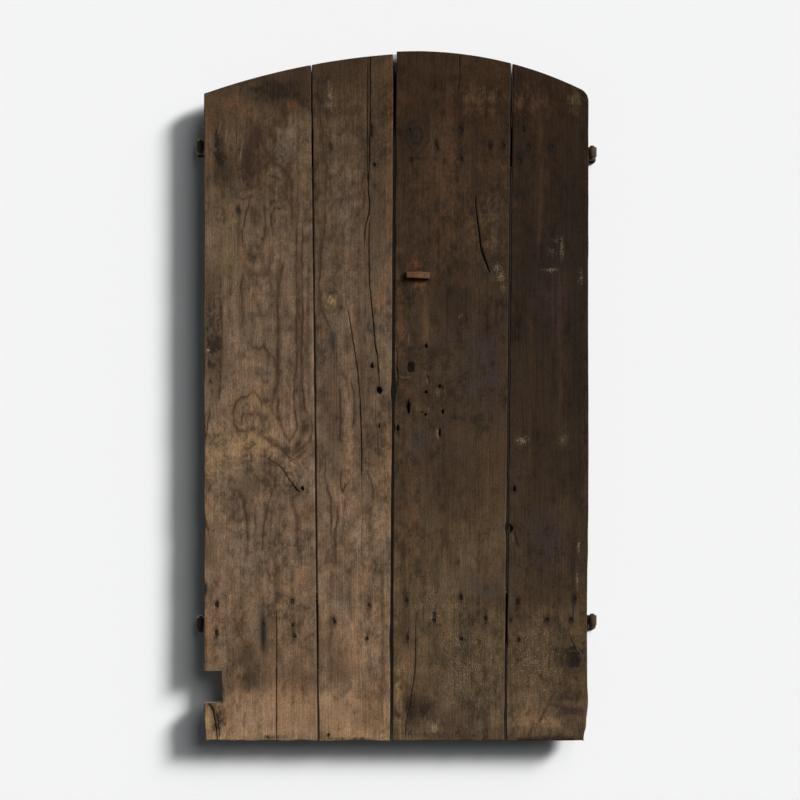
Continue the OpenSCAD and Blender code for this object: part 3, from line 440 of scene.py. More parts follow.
def soft_noise(x, z, size_x, size_z, seed):
    """Value noise, -1 to 1: random numbers on a lattice of cells size_x by size_z metres, blended across
    each cell by the smooth step 3t^2 - 2t^3."""
    u, v = x / size_x, z / size_z
    i, j = np.floor(u).astype(int), np.floor(v).astype(int)
    s, t = u - i, v - j
    s, t = s * s * (3 - 2 * s), t * t * (3 - 2 * t)
    lattice = np.random.default_rng(seed).uniform(-1, 1, LATTICE)

    def at(a, b):
        return lattice[a % LATTICE[0], b % LATTICE[1]]

    low = at(i, j) * (1 - s) + at(i + 1, j) * s
    high = at(i, j + 1) * (1 - s) + at(i + 1, j + 1) * s
    return low * (1 - t) + high * t


def layered_noise(x, z, size_x, size_z, seed, layers=3):
    """Sum of layers of value noise, each with cells half as large and half as strong as the last."""
    total, weight = 0, 0
    for k in range(layers):
        total = total + soft_noise(x, z, size_x / 2**k, size_z / 2**k, seed + k) / 2**k
        weight += 1 / 2**k
    return total / weight


def smooth_step(value, low, high):
    """0 below low, 1 above high, and 3t^2 - 2t^3 between them."""
    t = np.clip((value - low) / (high - low), 0, 1)
    return t * t * (3 - 2 * t)


def line_distance(x, z, points):
    """Distance to a polyline: the least distance to its segments, each point dropped square onto the
    segment and held to its ends. Also the share of the way along, from 0 to 1."""
    best = np.full(x.shape, np.inf)
    share = np.zeros(x.shape)
    lengths = [math.dist(a, b) for a, b in zip(points, points[1:])]
    total = sum(lengths)
    run = 0.0
    for (ax, az), (bx, bz), length in zip(points, points[1:], lengths):
        dx, dz = bx - ax, bz - az
        t = np.clip(((x - ax) * dx + (z - az) * dz) / (length * length), 0, 1)
        distance = np.hypot(x - ax - t * dx, z - az - t * dz)
        near = distance < best
        best = np.where(near, distance, best)
        share = np.where(near, (run + t * length) / total, share)
        run += length
    return best, share


def arch_height(leaf, x):
    """Height of the arched top: the arch's crown less radius plus sqrt(radius^2 - (x - centre)^2). On the
    right leaf a round that touches the arch and the right edge takes over at the outer corner."""
    centre, radius, crown = LEFT_ARCH if leaf == "left" else RIGHT_ARCH
    top = crown - radius + np.sqrt(radius**2 - (x - centre) ** 2)
    if leaf == "right":
        corner_x = HALF_W - TOP_CORNER_R
        inner = radius - TOP_CORNER_R
        corner_z = crown - radius + math.sqrt(inner**2 - (corner_x - centre) ** 2)
        touch_x = centre + (corner_x - centre) * radius / inner
        over = np.clip(x - corner_x, 0, TOP_CORNER_R)
        top = np.where(x > touch_x, corner_z + np.sqrt(TOP_CORNER_R**2 - over**2), top)
    return top


def board_edges(name, z):
    """Left and right edge of a board at height z: the sawn line with its lean, less the gaussian dents."""
    leaf, left, right, lean_left, lean_right = BOARDS[name]
    edges = []
    for side, foot, lean, sign in (("left", left, lean_left, 1), ("right", right, lean_right, -1)):
        edge = foot + lean * z / DOOR_H
        for row, half, depth in EDGE_DENTS.get((name, side), ()):
            place = (FOOT_ROW - row) * PX
            edge = edge + sign * depth * MM * np.exp(-((z - place) / (half * PX)) ** 2)
        wander = 0.5 * MM * soft_noise(z, z * 0, 55 * MM, 1, len(name) + len(side))
        edges.append(edge + sign * (wander + 0.4 * MM))
    if name == "left_outer_board":
        inside = (z > NOTCH_LOW) & (z < NOTCH_HIGH)
        edges[0] = np.where(inside, NOTCH_X - 3 * MM * (z - NOTCH_LOW) / (NOTCH_HIGH - NOTCH_LOW), edges[0])
    return edges


def bell(x, z, column, row, half_w, half_h):
    """Bell over a place of the photograph: 1 at its middle, 1/e at its half width and half height."""
    px, pz = on_leaf(column, row)
    return np.exp(-((x - px) / (half_w * PX)) ** 2 - ((z - pz) / (half_h * PX)) ** 2)


def grain_flow(name, x, z):
    """Across-the-grain coordinate: x pushed away from each knot by a bell of the knot's size, and let
    wander slowly along the board."""
    flow = x + 5 * MM * soft_noise(x, z, 160 * MM, 420 * MM, len(name) * 7)
    for *knot, push in KNOTS[name]:
        away = x - on_leaf(*knot[:2])[0]
        flow = flow - push * 0.75 * away * bell(x, z, *knot)
    return flow


def head_places(node):
    """Middle of each nail's head: the corners of the faces nearest the front, gathered in groups that
    lie within 15 mm of each other."""
    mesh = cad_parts[node].data
    points = np.empty(len(mesh.vertices) * 3)
    mesh.vertices.foreach_get("co", points)
    points = points.reshape(-1, 3)
    foremost = points[:, 1] < points[:, 1].min() + 0.2 * MM
    corners = np.unique(np.round(points[foremost], 5), axis=0)
    apart = 15 * MM
    places = []
    while len(corners):
        near = np.hypot(corners[:, 0] - corners[0, 0], corners[:, 2] - corners[0, 2]) < apart
        places.append(corners[near].mean(axis=0))
        corners = corners[~near]
    return places


def dent(depth, amount, distance, half):
    """Deepens a surface by a groove whose side falls as 1 - (d / half)^2 and whose floor is flat."""
    shape = np.clip(1.6 * (1 - (distance / half) ** 2), 0, 1)
    return np.maximum(depth, amount * shape)


def mix(colour, stain, strength):
    """Blends a colour towards a stain where strength is above 0."""
    share = np.clip(strength, 0, 1)[..., None]
    return colour * (1 - share) + np.array(linear(STAINS[stain])) * share


def leaf_colour(leaf, x, z, settings):
    """Weathered colour by height: straight blends between the colours of the paler foot, the part just
    above it, the middle and the crown, with slow noise in the height at which they change."""
    tones = [getattr(settings, f"{leaf}_{place}") for place in ("foot", "low", "middle", "crown")]
    heights = np.array([0.108, 0.15, 1.15, 1.86]) * DOOR_H / 2
    level = z + 26 * MM * layered_noise(x, z, 70 * MM, 60 * MM, 31)
    return np.stack([np.interp(level, heights, [t[i] for t in tones]) for i in range(3)], axis=-1)


def stain_patches(leaf, x, z, colour, coarse, streaky):
    """Blends the soft patches into the colour, in place: bells whose borders are ragged and whose stain is
    mottled by noise, but for those under 3 pixels, which are small and sharp."""
    for stain, column, row, half_w, half_h, strength in PATCHES[leaf]:
        share = bell(x, z, column, row, half_w, half_h)
        near = share > 0.015
        share, mottled = share[near], 1
        if half_w > 3:
            ragged = 0.5 * layered_noise(x[near], z[near], half_w * PX, half_h * PX, int(column + row), 3)
            share = smooth_step(share + ragged + 0.2 * streaky[near], 0.1, 1.15)
            mottled = np.clip(1 + 0.9 * coarse[near], 0.2, 1.7)
        colour[near] = mix(colour[near], stain, np.minimum(strength * 1.5 * share * mottled, 0.95))


def ring_knots(name, x, z, colour):
    """Year rings in each knot: the cosine of the distance from its middle, fading outwards."""
    for column, row, half_w, half_h, push in KNOTS[name]:
        px, pz = on_leaf(column, row)
        radius = np.hypot((x - px) / (half_w * PX), (z - pz) / (half_h * PX))
        radius = radius + 0.12 * layered_noise(x, z, 9 * MM, 12 * MM, int(row), 2)
        fade = push * np.exp(-(radius / 1.1) ** 2)
        colour = colour * (1 - 0.32 * fade * np.cos(radius * 15) - 0.12 * fade)[..., None]
    return colour


def draw_line(mark, points, x, z, depth, colour):
    """Cuts a line into the depth and blends its stain into the colour, in place. It wobbles by value
    noise, narrows towards its ends and is worn away here and there."""
    half, cut, stain, strength = MARKS[mark]
    half *= MM
    opening = mark in ("split", "crack")
    margin = 4 * half + 8 * MM
    low, high = np.min(points, axis=0) - margin, np.max(points, axis=0) + margin
    near = (x > low[0]) & (x < high[0]) & (z > low[1]) & (z < high[1])
    x, z, tint = x[near], z[near], colour[near]
    seed = int(points[0][0] * 1e4) % 997
    bends = 0.9 if opening or mark == "check" else 4.2
    wobble = bends * MM * layered_noise(z, x, 26 * MM, 60 * MM, seed, 4)
    distance, share = line_distance(x + wobble, z + 0.6 * wobble, points)
    taper = np.clip(np.minimum(share, 1 - share) * 7 + 0.35, 0, 1)
    worn = np.clip(0.85 + 0.5 * soft_noise(x, z, 15 * MM, 22 * MM, seed + 1), 0.2, 1.2)
    reach = half * (0.6 + 0.4 * taper) * (0.75 + 0.35 * worn)
    depth[near] = dent(depth[near], cut * MM * taper, distance, reach)
    # Splits and cracks take their stain unworn along the whole line: painted shade down the crack together
    # with its dirt
    soft = np.exp(-(distance / (reach * 1.15)) ** 2) * strength * (0.55 + 0.45 * taper)
    tint = mix(tint, stain, soft if opening else soft * worn)
    # A ring gets a dark core line along itself; a graze or chalk fleck gets a painted shadow, a dark line
    # 2.6 mm to its right, as the shade beside a raised sliver
    if mark in ("ring", "graze", "chalk"):
        beside = 0 if mark == "ring" else -2.6 * MM
        core, _ = line_distance(x + wobble + beside, z + 0.6 * wobble, points)
        tint = mix(tint, "char", 0.4 * worn * taper * np.exp(-(core / (1.2 * MM)) ** 2))
    if mark in ("ring", "faint"):
        tint = mix(tint, "brown", 0.3 * worn * taper * np.exp(-(distance / (8 * MM)) ** 2))
    if opening:
        tint = mix(tint, "umber", np.exp(-(distance / (4 * half)) ** 2) * 0.28 * taper * worn)
    colour[near] = tint


def seat_heads(leaf, x, z, depth, colour, streaky):
    """A flat seat just in front of the back of each nail's head, and a dark drip below it. The wood has
    grown over the upper left heads, so they have no seat and a faint drip."""
    for node in NAIL_NODES:
        if leaf not in node:
            continue
        for head_x, head_y, head_z in head_places(node):
            stain = 0.1
            if not node.startswith("upper_left"):
                away = np.maximum(np.abs(x - head_x), np.abs(z - head_z))
                seat = head_y + HEAD_THICK - 0.1 * MM - FRONT_Y
                depth = np.where(away < HEAD_HALF + 0.2 * MM, seat, depth)
                varied = abs(math.sin(head_x * 900 + head_z * 700))
                stain = (0.25 if leaf == "left" else 0.5) + 0.45 * varied
            drip = np.exp(-((x - head_x) / (4 * MM)) ** 2 - ((z - head_z + 2 * MM) / (15 * MM)) ** 2)
            colour = mix(colour, "soot_and_shade", stain * drip * (1 + 0.4 * streaky))
    return depth, colour


def weather(name, x, z, settings):
    """Depth, colour, grain and bloom of a board's front at each place. Fibres, cords and bands are value
    noise drawn along the grain; patches and deposits are bells; lines are grooves along polylines."""
    leaf = BOARDS[name][0]
    seed = sum(map(ord, name))
    flow = grain_flow(name, x, z)
    fibre = soft_noise(flow, z, 3.2 * MM, 90 * MM, seed)
    cord = soft_noise(flow, z, 9 * MM, 180 * MM, seed + 1)
    band = layered_noise(flow, z, 34 * MM, 420 * MM, seed + 2)
    blotch = layered_noise(x, z, 70 * MM, 110 * MM, seed + 3, 4)
    cloud = layered_noise(x, z, 20 * MM, 26 * MM, seed + 7, 3)
    speck = layered_noise(x, z, 6 * MM, 7 * MM, seed + 4, 2)
    coarse = cloud + speck
    depth = (0.5 + 0.2 * fibre + 0.25 * cord + 0.3 * band + 0.2 * cloud) * MM

    above, below, change = TONES[name]
    height = z + 60 * MM * layered_noise(x, z, 60 * MM, 60 * MM, seed + 6)
    tone = below + (above - below) * smooth_step(height, change - 100 * MM, change + 100 * MM)
    colour = leaf_colour(leaf, x, z, settings) * tone[..., None]
    light = 1 + 0.08 * fibre + 0.12 * cord + 0.18 * band + 0.42 * blotch + 0.52 * cloud + 0.38 * speck
    colour = colour * np.clip(light, 0.4, 1.8)[..., None]
    warm = layered_noise(x, z, 30 * MM, 70 * MM, seed + 5)
    colour = colour * (1 + warm[..., None] * np.array([0.08, -0.01, -0.1]))

    stain_patches(leaf, x, z, colour, coarse, coarse + cord)
    colour = ring_knots(name, x, z, colour)
    under_arch = arch_height(leaf, x) - z
    colour = mix(colour, "umber", 0.4 * np.exp(-under_arch / (38 * MM)) * (1 + cloud))
    for mark, *places in LINES[name]:
        points = [on_leaf(*place) for place in zip(places[::2], places[1::2])]
        draw_line(mark, points, x, z, depth, colour)
    for column, row, half_w, half_h, cut in PITS.get(name, ()):
        px, pz = on_leaf(column, row)
        distance = np.hypot((x - px) / half_w, (z - pz) / half_h) / MM + 0.5 * speck + 0.3 * fibre
        depth = dent(depth, cut * MM, distance, 1.25)
        # Painted shade: the inside of each old hole goes near black, the shade in the hole together with its
        # dirt
        colour = mix(colour, "soot_and_shade", smooth_step(-distance, -1.5, -0.9) * 0.96)
    depth, colour = seat_heads(leaf, x, z, depth, colour, fibre + speck)
    bloom = np.zeros(x.shape)
    for *spot, amount in BLOOM[leaf]:
        bloom = np.maximum(bloom, amount * bell(x, z, *spot) * (1 + 0.4 * cloud))
    return depth, colour, flow, bloom


def board_rows(name):
    """Heights of a board's rows: about 6 mm apart, 3 mm apart past the nails, the keyhole and the slanting
    cracks, with two close rows at each side of a notch."""
    fine = (3.4 if name == "right_inner_board" else 3) * MM
    coarse = {"right_inner_board": 6.6, "left_inner_board": 5.8}.get(name, 6.2) * MM
    close = [(285, 430), (1670, 1785)]
    close += {"right_inner_board": [(850, 1150)], "left_outer_board": [(700, 830)]}.get(name, [])
    parts, z = [], 0.0
    for low, high in sorted(close):
        parts.append(np.arange(z, low * MM, coarse))
        parts.append(np.arange(low * MM, high * MM, fine))
        z = high * MM
    parts.append(np.arange(z, DOOR_H - coarse / 2, coarse))
    edge = np.array([0, 0.7, 1.6, 3.0]) * MM
    rows = np.concatenate(parts)
    rows = rows[(rows > 4 * MM) & (rows < DOOR_H - 4 * MM)]
    rows = np.concatenate([edge, rows, DOOR_H - edge[::-1]])
    if name == "left_outer_board":
        sill = [NOTCH_LOW, NOTCH_HIGH]
        rows = rows[np.abs(rows[:, None] - sill).min(axis=1) > 1.5 * MM]
        rows = np.sort(np.concatenate([rows, [s + d * MM for s in sill for d in (-0.06, 0.06)]]))
    return rows


def column_shares(width, pitch):
    """Shares of a board's width at which its columns stand: close together at both arrises."""
    arris = np.array([0, 0.6, 1.4, 2.6]) * MM / width
    middle = np.linspace(arris[-1], 1 - arris[-1], int(width / pitch))[1:-1]
    return np.concatenate([arris, middle, 1 - arris[::-1]])


def keyhole_offset(x, z):
    """Signed distance to the keyhole's outline, and the way out of it: the distance to the upright line
    between its two round centres, less the radius."""
    dx = x - KEYHOLE[0]
    dz = z - KEYHOLE[1]
    dz = np.sign(dz) * np.maximum(np.abs(dz) - KEYHOLE_STRAIGHT / 2, 0)
    length = np.maximum(np.hypot(dx, dz), 1e-6)
    return length - KEYHOLE_R, dx / length, dz / length


def corners_in(points, join):
    """For each face of a grid, whether all of its corners are in, or any: join is the and, or the or."""
    return join(join(points[:-1, :-1], points[1:, :-1]), join(points[:-1, 1:], points[1:, 1:]))


def cut_keyhole(x, y, z, colour):
    """Moves the grid's points inside the keyhole that touch a face outside it onto its outline, where the
    walls of the hole start. Returns the grids, the colour, which is painted near black as shade inside the
    hole and fades out over 1.5 mm round it, and the points inside."""
    offset, way_x, way_z = keyhole_offset(x, z)
    hole = offset < 0
    kept = ~np.pad(corners_in(hole, np.logical_and), 1)
    rim = hole & corners_in(kept, np.logical_or)
    x = np.where(rim, x - way_x * offset, x)
    z = np.where(rim, z - way_z * offset, z)
    y = np.where(rim, FRONT_Y + 2 * MM, y)
    return x, y, z, mix(colour, "soot_and_shade", 0.9 * smooth_step(-offset, -1.5 * MM, 0)), hole


def board_surface(name, settings):
    """Closed board as a tube of rows: each row runs along the front, down the right side, back across
    and up the left side. Rows lie level up to 1500 mm and bend to the arch above. Returns the points,
    the quads and end faces, and the colour, flow and bloom of each point."""
    leaf = BOARDS[name][0]
    rows = board_rows(name)
    left, right = board_edges(name, rows)
    width = BOARDS[name][2] - BOARDS[name][1]
    closer = 0.72 if width < NARROW_BOARD else 1
    shares = column_shares(width, settings.column_pitch * closer)
    x = left[:, None] + shares * (right - left)[:, None]
    level = np.repeat(rows[:, None], len(shares), axis=1)
    rise = (arch_height(leaf, x[-1]) - ROWS_BEND_FROM) / (DOOR_H - ROWS_BEND_FROM)
    z = np.where(level > ROWS_BEND_FROM, ROWS_BEND_FROM + (level - ROWS_BEND_FROM) * rise, level)
    foot_wear = 1.2 * MM * (1 + soft_noise(x[0], x[0] * 0, 28 * MM, 1, 5))
    z = z + foot_wear * np.clip(1 - z / (60 * MM), 0, 1)

    depth, colour, flow, bloom = weather(name, x, z, settings)
    rounding = (3.2 + 1.5 * soft_noise(x, z, 40 * MM, 60 * MM, 71)) * MM
    side_gap = np.minimum(x - left[:, None], right[:, None] - x)
    end_gap = np.minimum(z - z[0], z[-1] - z)
    gap = np.minimum(side_gap, end_gap + 0.8 * MM)
    inside = np.clip(rounding - gap, 0, None)
    depth = depth + rounding - np.sqrt(np.maximum(rounding**2 - inside**2, 0))
    # Darker umber within about 2.5 mm of each edge and end of the front
    worn = np.exp(-gap / (2.5 * MM))
    colour = mix(colour, "umber", 0.45 * worn)
    y = FRONT_Y + depth

    hole = np.zeros(x.shape, bool)
    if name == "right_inner_board":
        x, y, z, colour, hole = cut_keyhole(x, y, z, colour)
    all_in = corners_in(hole, np.logical_and)

    count = len(shares)
    back_every = 16
    picked = np.unique(np.concatenate([np.arange(0, count, back_every), [count - 1]]))
    columns = np.nonzero(hole.any(axis=0))[0]
    if len(columns):
        picked = np.unique(np.concatenate([picked, np.arange(columns[0] - 1, columns[-1] + 2)]))
    side_steps = 4
    steps = np.arange(1, side_steps + 1) / (side_steps + 1)

    def around(front, back, right=0, left=0):
        """Values along whole rows: the front, its right edge carried back, the back, and its left edge."""
        right_side = np.repeat(front[:, -1:], side_steps, axis=1) + right
        left_side = np.repeat(front[:, :1], side_steps, axis=1) + left
        return np.concatenate([front, right_side, back[:, picked[::-1]], left_side], axis=1)

    loop_x, loop_z = around(x, x), around(z, z)
    right_depth, left_depth = BACK_Y - y[:, -1:], BACK_Y - y[:, :1]
    loop_y = around(y, np.full(y.shape, BACK_Y), right_depth * steps, left_depth * steps[::-1])
    total = loop_x.shape[1]
    right_side, left_side = slice(count, count + side_steps), slice(total - side_steps, total)
    plain = leaf_colour(leaf, x, z, settings) * 0.8
    shade = 0.7 + 0.25 * soft_noise(loop_x, loop_z, 12 * MM, 200 * MM, 9)
    loop_colour = np.stack([around(colour[..., i], plain[..., i]) for i in range(3)], axis=-1)
    # Painted shade: the sides of the boards that face a seam go near black, standing for the shade in the
    # seam along with its dirt
    seams = np.zeros(loop_x.shape)
    seams[:, right_side] = 0.0 if name == "right_outer_board" else 0.85
    seams[:, left_side] = 0.0 if name == "left_outer_board" else 0.85
    loop_colour = mix(loop_colour, "soot_and_shade", seams)
    loop_colour[:, count:] *= shade[:, count:, None]
    loop_flow = around(flow, flow, loop_y[:, right_side], -loop_y[:, left_side])
    loop_bloom = np.pad(bloom, ((0, 0), (0, total - count)))

    quads = tube_quads(len(rows), total)
    open_faces = np.zeros(quads.shape[:2], bool)
    open_faces[:, :count - 1] = all_in
    back_column = {c: count + side_steps + len(picked) - 1 - i for i, c in enumerate(picked)}
    walls = np.empty((0, 4), int)
    if all_in.any():
        for c in range(columns[0] - 1, columns[-1] + 1):
            open_faces[:, back_column[c + 1]] = all_in[:, c]
        walls = hole_walls(all_in, total, back_column)
    faces = quads[~open_faces].tolist() + walls.tolist()
    faces += end_faces(count, picked, side_steps, total, len(rows))
    points = np.stack([loop_x, loop_y, loop_z], axis=-1).reshape(-1, 3)
    return points, faces, loop_colour.reshape(-1, 3), loop_flow.reshape(-1), loop_bloom.reshape(-1)


def hole_walls(all_in, total, back_column):
    """Quads that line a hole: one from front to back along each grid edge between a missing face and a
    kept one, turned to face into the hole."""
    front = np.arange(all_in.shape[1] + 1)
    back = np.array([back_column.get(c, 0) for c in front])
    padded = np.pad(all_in, 1)
    inner = padded[1:-1, 1:-1]
    walls = []
    for shift_r, shift_c in ((0, -1), (0, 1), (-1, 0), (1, 0)):
        beside = padded[1 + shift_r:padded.shape[0] - 1 + shift_r, 1 + shift_c:padded.shape[1] - 1 + shift_c]
        r, c = np.nonzero(inner & ~beside)
        if shift_c:
            column = c + (shift_c > 0)
            a, b = r * total + front[column], (r + 1) * total + front[column]
            back_a, back_b = r * total + back[column], (r + 1) * total + back[column]
            quad = [a, back_a, back_b, b] if shift_c < 0 else [a, b, back_b, back_a]
        else:
            row = r + (shift_r > 0)
            a, b = row * total + front[c], row * total + front[c + 1]
            back_a, back_b = row * total + back[c], row * total + back[c + 1]
            quad = [a, b, back_b, back_a] if shift_r < 0 else [a, back_a, back_b, b]
        walls.append(np.stack(quad, axis=-1))
    return np.concatenate(walls)


def tube_quads(rows, around):
    """Quads of a tube of rows: each joins two neighbours of a row to the two beyond them."""
    r, j = np.meshgrid(np.arange(rows - 1), np.arange(around), indexing="ij")
    k = (j + 1) % around
    return np.stack([r * around + j, r * around + k, (r + 1) * around + k, (r + 1) * around + j], axis=-1)


def end_faces(count, picked, side_steps, total, row_count):
    """End grain at the foot and the crown: for each stretch between two back columns, one face from the
    front's columns to the back's, with the side's points in the first and the last."""
    back_start = count + side_steps
    faces = []
    for i, (a, b) in enumerate(zip(picked, picked[1:])):
        back_a = back_start + len(picked) - 1 - i
        ring = list(range(a, b + 1))
        if i == len(picked) - 2:
            ring += list(range(count, back_start))
        ring += [back_a - 1, back_a]
        if i == 0:
            ring += list(range(back_start + len(picked), total))
        base = (row_count - 1) * total
        faces.append([base + p for p in ring])
        faces.append(ring[::-1])
    return faces


def new_piece(name, points, faces, body, material, sharp=55):
    """Mesh object at the origin, smooth but for edges sharper than the given angle, riding on its body."""
    mesh = bpy.data.meshes.new(name)
    mesh.from_pydata(points, [], faces)
    mesh.update()
    mesh.shade_smooth()
    mesh.set_sharp_from_angle(angle=math.radians(sharp))
    mesh.materials.append(material)
    piece = bpy.data.objects.new(name, mesh)
    bpy.context.scene.collection.objects.link(piece)
    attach(piece, body)
    return piece


def store(mesh, name, kind, values):
    """Keeps one value for each point in a named attribute, for the material to read."""
    layer = mesh.attributes.new(name, kind, "POINT")
    field = "color" if kind == "FLOAT_COLOR" else "value"
    layer.data.foreach_set(field, np.asarray(values, np.float32).ravel())


def add(tree, kind, inputs=(), out=0, **settings):
    """Adds a node, sets its properties and fills its inputs, by name or in order, with values or links.
    Returns the output that is asked for."""
    node = tree.nodes.new("ShaderNode" + kind)
    for key, value in settings.items():
        setattr(node, key, value)
    for key, value in inputs.items() if isinstance(inputs, dict) else enumerate(inputs):
        socket = node.inputs[key]
        if isinstance(value, bpy.types.NodeSocket):
            tree.links.new(value, socket)
        else:
            socket.default_value = (*value, 1) if socket.type == "RGBA" else value
    return node.outputs[out] if len(node.outputs) else None


def new_material(name):
    """Empty node material; returns it with its tree and the place on the object."""
    material = bpy.data.materials.new(name)
    material.use_nodes = True
    tree = material.node_tree
    tree.nodes.clear()
    return material, tree, add(tree, "TexCoord", out="Object")


def cells(tree, place, size, detail=3.0, roughness=0.55):
    """Noise whose cells have the given size in millimetres along each axis."""
    per_metre = [1000 / millimetres for millimetres in size]
    place = add(tree, "VectorMath", (place, per_metre), operation="MULTIPLY")
    inputs = {"Vector": place, "Scale": 1.0, "Detail": detail, "Roughness": roughness}
    return add(tree, "TexNoise", inputs, "Fac")


def shaded(tree, colour, *patterns):
    """A colour made lighter and darker by patterns: each with its low and high, and the light at them."""
    for pattern, *ends in patterns:
        light = add(tree, "MapRange", (pattern, *ends))
        colour = add(tree, "VectorMath", {0: colour, "Scale": light}, operation="SCALE")
    return colour


def blended(tree, share, colour, other):
    """A colour that turns into another: share is a pattern with its low and high, and the share at them."""
    return add(tree, "Mix", {0: add(tree, "MapRange", share), 6: colour, 7: other}, 2, data_type="RGBA")


def surface(tree, relief, height, strength, **inputs):
    """Joins a Principled surface to the output, with a relief of the given height as its bump."""
    bump = add(tree, "Bump", {"Height": relief, "Strength": strength, "Distance": height})
    inputs = {key.replace("_", " "): value for key, value in inputs.items()}
    add(tree, "OutputMaterial", {"Surface": add(tree, "BsdfPrincipled", {"Normal": bump, **inputs})},
        is_active_output=True)


def weathered_softwood(name):
    """Bare old pine, weathered outdoors: raised summer wood in grey-brown fibres about 1 mm wide, open
    pores, dry and matt. The fibres follow the flow attribute round the knots."""
    material, tree, place = new_material(name)
    _, y, z = add(tree, "SeparateXYZ", [place]).node.outputs
    flow, bloom = (add(tree, "Attribute", out="Fac", attribute_name=layer) for layer in ("flow", "bloom"))
    # The stain attribute holds each point's colour: the wood's tones and stains, with the painted shade of
    # cracks, holes, the keyhole and the seams
    stain = add(tree, "Attribute", out="Color", attribute_name="stain")
    along = add(tree, "CombineXYZ", (flow, y, z))

    # Cells across the board, through it and along it, in millimetres. The bundles are as coarse as they
    # need to be to show from across a room
    fibre = cells(tree, along, (1.25, 3.3333, 22.222), 4.0, 0.6)
    bundle = cells(tree, along, (3.8462, 8.3333, 111.11), 4.0, 0.6)
    pore = cells(tree, along, (0.76923, 2.0, 8.3333), 1.0)
    mottle = cells(tree, place, (3.0303, 3.0303, 3.3333), 5.0, 0.7)
    colour = shaded(tree, stain, (fibre, 0.3, 0.7, 0.9, 1.1), (bundle, 0.32, 0.68, 0.92, 1.08),
                    (mottle, 0.36, 0.64, 0.6, 1.4), (pore, 0.3, 0.4, 0.76, 1.0))

    # Pale deposits lie in specks 2.4 mm across, closer together where the bloom attribute is higher
    speck = cells(tree, place, [2.38095] * 3, 3.0, 0.7)
    reach = add(tree, "Math", (bloom, 0.3, speck), operation="MULTIPLY_ADD")
    inside = add(tree, "MapRange", (bloom, 0.02, 0.15, 0.0, 1.0))
    dots = add(tree, "Math", (add(tree, "MapRange", (reach, 0.64, 0.72, 0.0, 0.8)), inside),
               operation="MULTIPLY")
    colour = blended(tree, (dots, 0.0, 1.0, 0.0, 1.0), colour, linear("#998a72"))

    relief = add(tree, "Math", (fibre, bundle), operation="ADD")
    relief = add(tree, "Math", (mottle, 0.7, relief), operation="MULTIPLY_ADD")
    surface(tree, relief, 1.1 * MM, 0.8, Base_Color=colour, Roughness=0.9, Specular_IOR_Level=0.12)
    return material


def sawn_wood(name, light_hex, dark_hex, ring):
    """Bare sawn softwood along X: straight year rings of the given width in millimetres across a fine
    fibre, with saw marks square to the grain."""
    material, tree, place = new_material(name)
    rings = cells(tree, place, (333.33, ring, ring), 2.0)
    fibre = cells(tree, place, (33.333, 0.90909, 0.90909))
    sawn = cells(tree, place, (2.38095, 33.333, 33.333), 1.0)
    mottle = cells(tree, place, [45.4545] * 3, 4.0)
    colour = blended(tree, (rings, 0.36, 0.64, 0.0, 1.0), linear(dark_hex), linear(light_hex))
    colour = shaded(tree, colour, (fibre, 0.3, 0.7, 0.76, 1.2), (mottle, 0.3, 0.7, 0.76, 1.2),
                    (sawn, 0.35, 0.65, 0.93, 1.06))
    relief = add(tree, "Math", (fibre, sawn), operation="ADD")
    surface(tree, relief, 0.8 * MM, 0.6, Base_Color=colour, Roughness=0.84, Specular_IOR_Level=0.25)
    return material


def forged_iron(name, scale_hex, rust_hex, bright_hex, metal, patch_size):
    """Hand-forged iron under old rust: dark hammer scale, red-brown rust in patches of the given size in
    millimetres, and a dry matt surface with hammer flats 12 mm across and grit of 1 mm."""
    material, tree, place = new_material(name)
    patch = cells(tree, place, [patch_size] * 3, 5.0, 0.65)
    grit = cells(tree, place, [1.1111] * 3)
    flats = {"Vector": place, "Scale": 1000 / 11.7647}
    flats = add(tree, "TexVoronoi", flats, "Distance", feature="SMOOTH_F1")
    colour = blended(tree, (patch, 0.42, 0.6, 0.0, 1.0), linear(scale_hex), linear(rust_hex))
    colour = blended(tree, (grit, 0.58, 0.75, 0.0, 0.6), colour, linear(bright_hex))
    relief = add(tree, "Math", (flats, 2.2, grit), operation="MULTIPLY_ADD")
    surface(tree, relief, 1 * MM, 0.7, Base_Color=colour, Metallic=metal, Specular_IOR_Level=0.1 + metal,
            Roughness=add(tree, "MapRange", (patch, 0.4, 0.65, 0.55, 0.9)))
    return material


def named_material(maker, name, *arguments):
    """The material of that name, made the first time that it is asked for."""
    return bpy.data.materials.get(name) or maker(name, *arguments)


